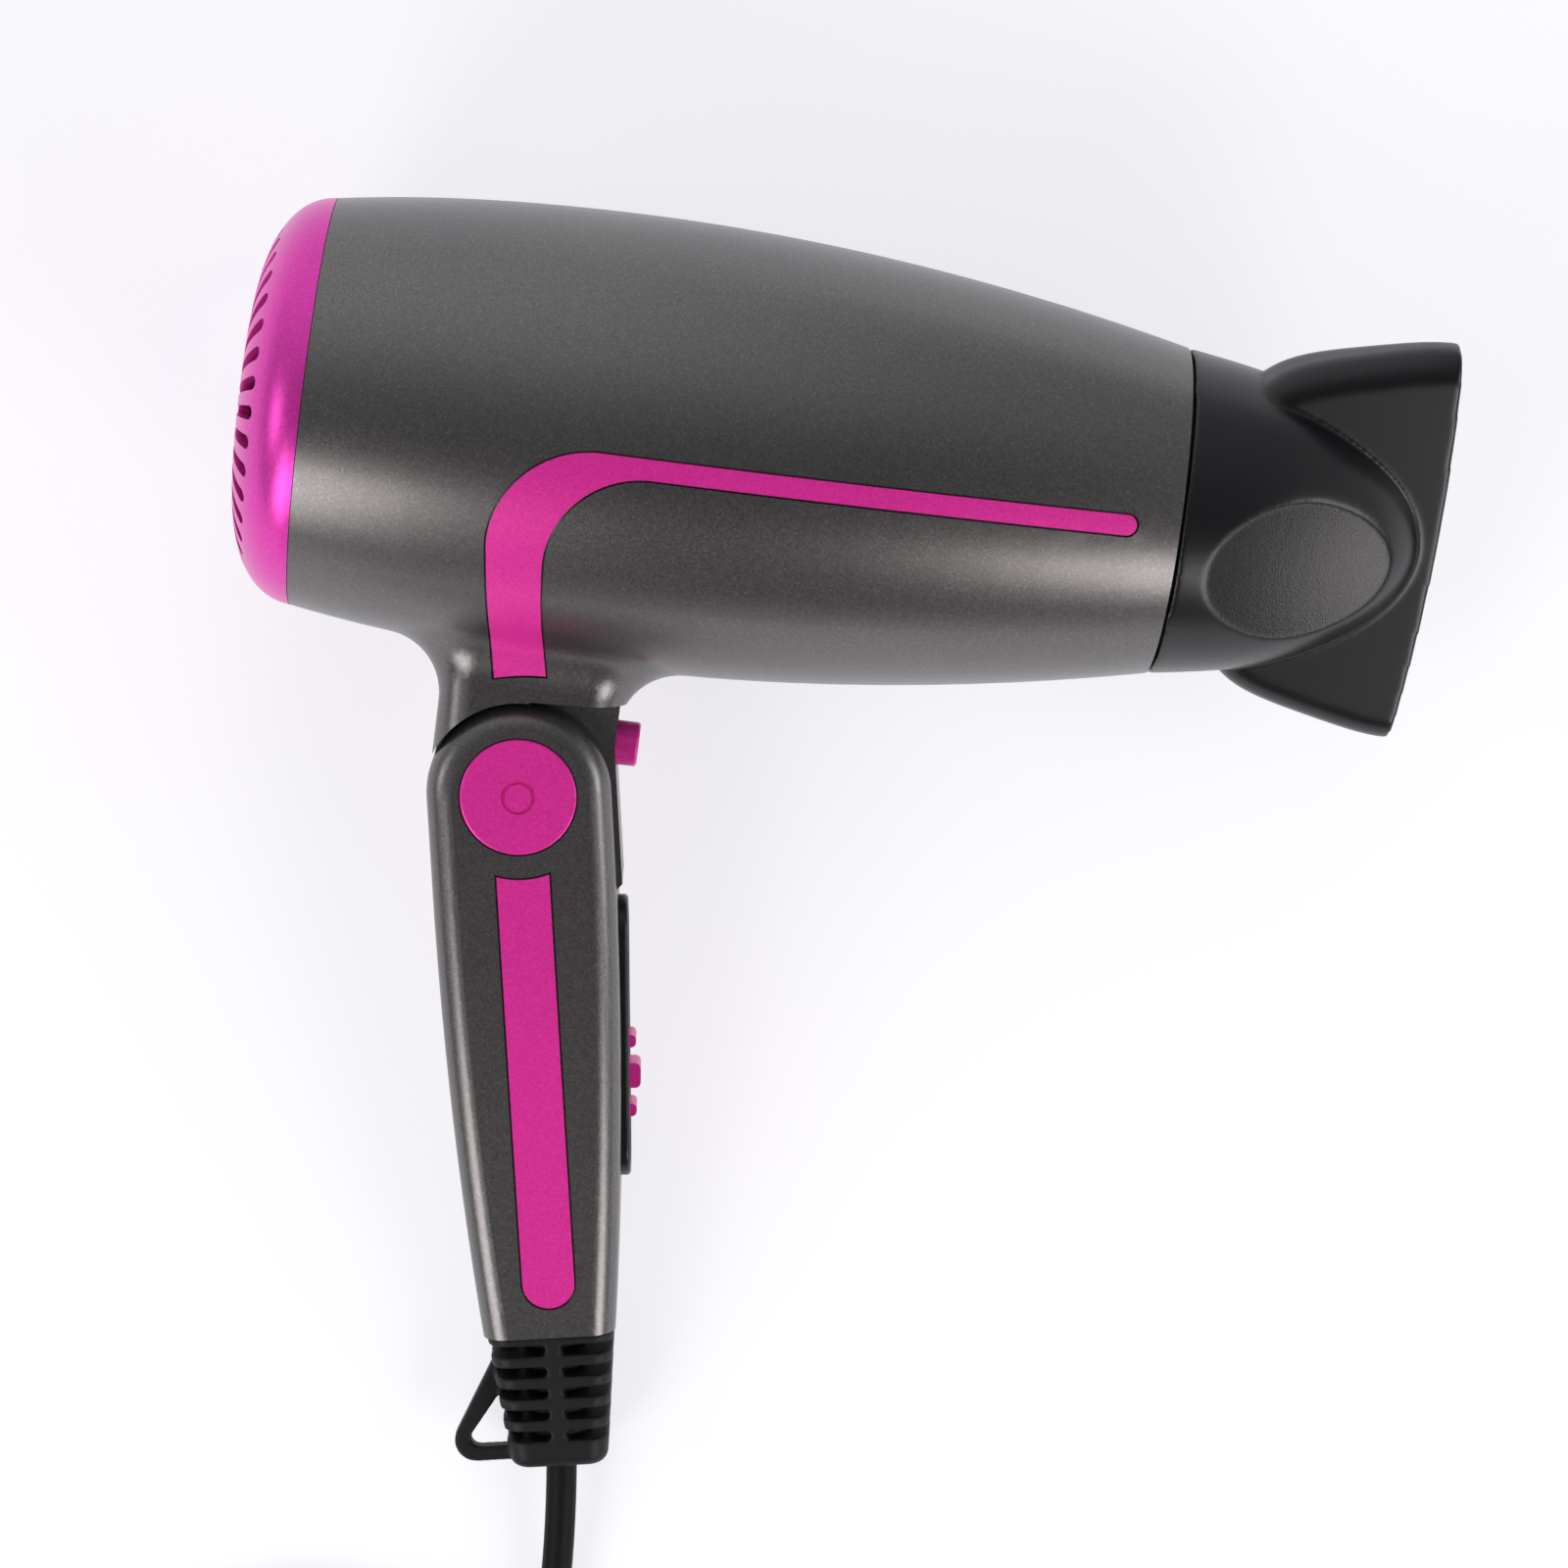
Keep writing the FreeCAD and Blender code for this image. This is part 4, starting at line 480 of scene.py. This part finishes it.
def softbox(name, direction, distance, width, height, radiance, colour=(1, 1, 1)):
    """Softbox of a given brightness in a direction seen from the dryer."""
    place = AIM + Vector(direction).normalized() * distance
    data = bpy.data.lights.new(name, "AREA")
    data.shape = "RECTANGLE"
    data.size = width
    data.size_y = height
    data.energy = radiance * math.pi * width * height
    data.color = colour
    lamp = bpy.data.objects.new(name, data)
    lamp.location = place
    lamp.rotation_euler = (AIM - place).to_track_quat("-Z", "Y").to_euler()
    bpy.context.scene.collection.objects.link(lamp)


def make_world():
    """Pale room: bright on the side behind the barrel, dim overhead and in front of it."""
    world = bpy.data.worlds.new("studio")
    bpy.context.scene.world = world
    world.use_nodes = True
    tree = world.node_tree
    background = tree.nodes["Background"]
    place = tree.nodes.new("ShaderNodeTexCoord").outputs["Generated"]
    split = tree.nodes.new("ShaderNodeSeparateXYZ")
    tree.links.new(place, split.inputs[0])
    depth = room_ramp(tree, split.outputs["Y"], ROOM)
    sides = room_ramp(tree, split.outputs["X"], ROOM_SIDES)
    both = tree.nodes.new("ShaderNodeMix")
    both.data_type = "RGBA"
    both.blend_type = "MULTIPLY"
    both.inputs["Factor"].default_value = 1.0
    tree.links.new(depth, both.inputs["A"])
    tree.links.new(sides, both.inputs["B"])
    tree.links.new(both.outputs["Result"], background.inputs["Color"])
    background.inputs["Strength"].default_value = 1.0


def room_ramp(tree, direction, levels):
    """Brightness along one direction of the room, from -1 to 1."""
    spread = tree.nodes.new("ShaderNodeMapRange")
    spread.inputs["From Min"].default_value = -1.0
    tree.links.new(direction, spread.inputs["Value"])
    ramp = tree.nodes.new("ShaderNodeValToRGB")
    elements = ramp.color_ramp.elements
    while len(elements) < len(levels):
        elements.new(0.5)
    for element, (position, level) in zip(elements, levels):
        element.position = position
        element.color = (level, level, level * 1.02, 1)
    tree.links.new(spread.outputs["Result"], ramp.inputs["Fac"])
    return ramp.outputs["Color"]


bpy.context.scene.view_settings.view_transform = "Standard"
make_floor()
make_world()
softbox("front_left", (-0.50, -0.70, 0.52), 1.4, 0.55, 0.85, 5.8, WARM)
softbox("front_right", (0.66, -0.60, 0.50), 1.4, 0.6, 0.65, 6.4, WARM)
softbox("left", (-0.84, -0.12, 0.50), 1.5, 0.55, 0.5, 3.5)
softbox("right", (0.9, 0.06, 0.44), 1.5, 0.6, 0.5, 5.5)


# ======================================================================== the end
bpy.context.view_layer.update()
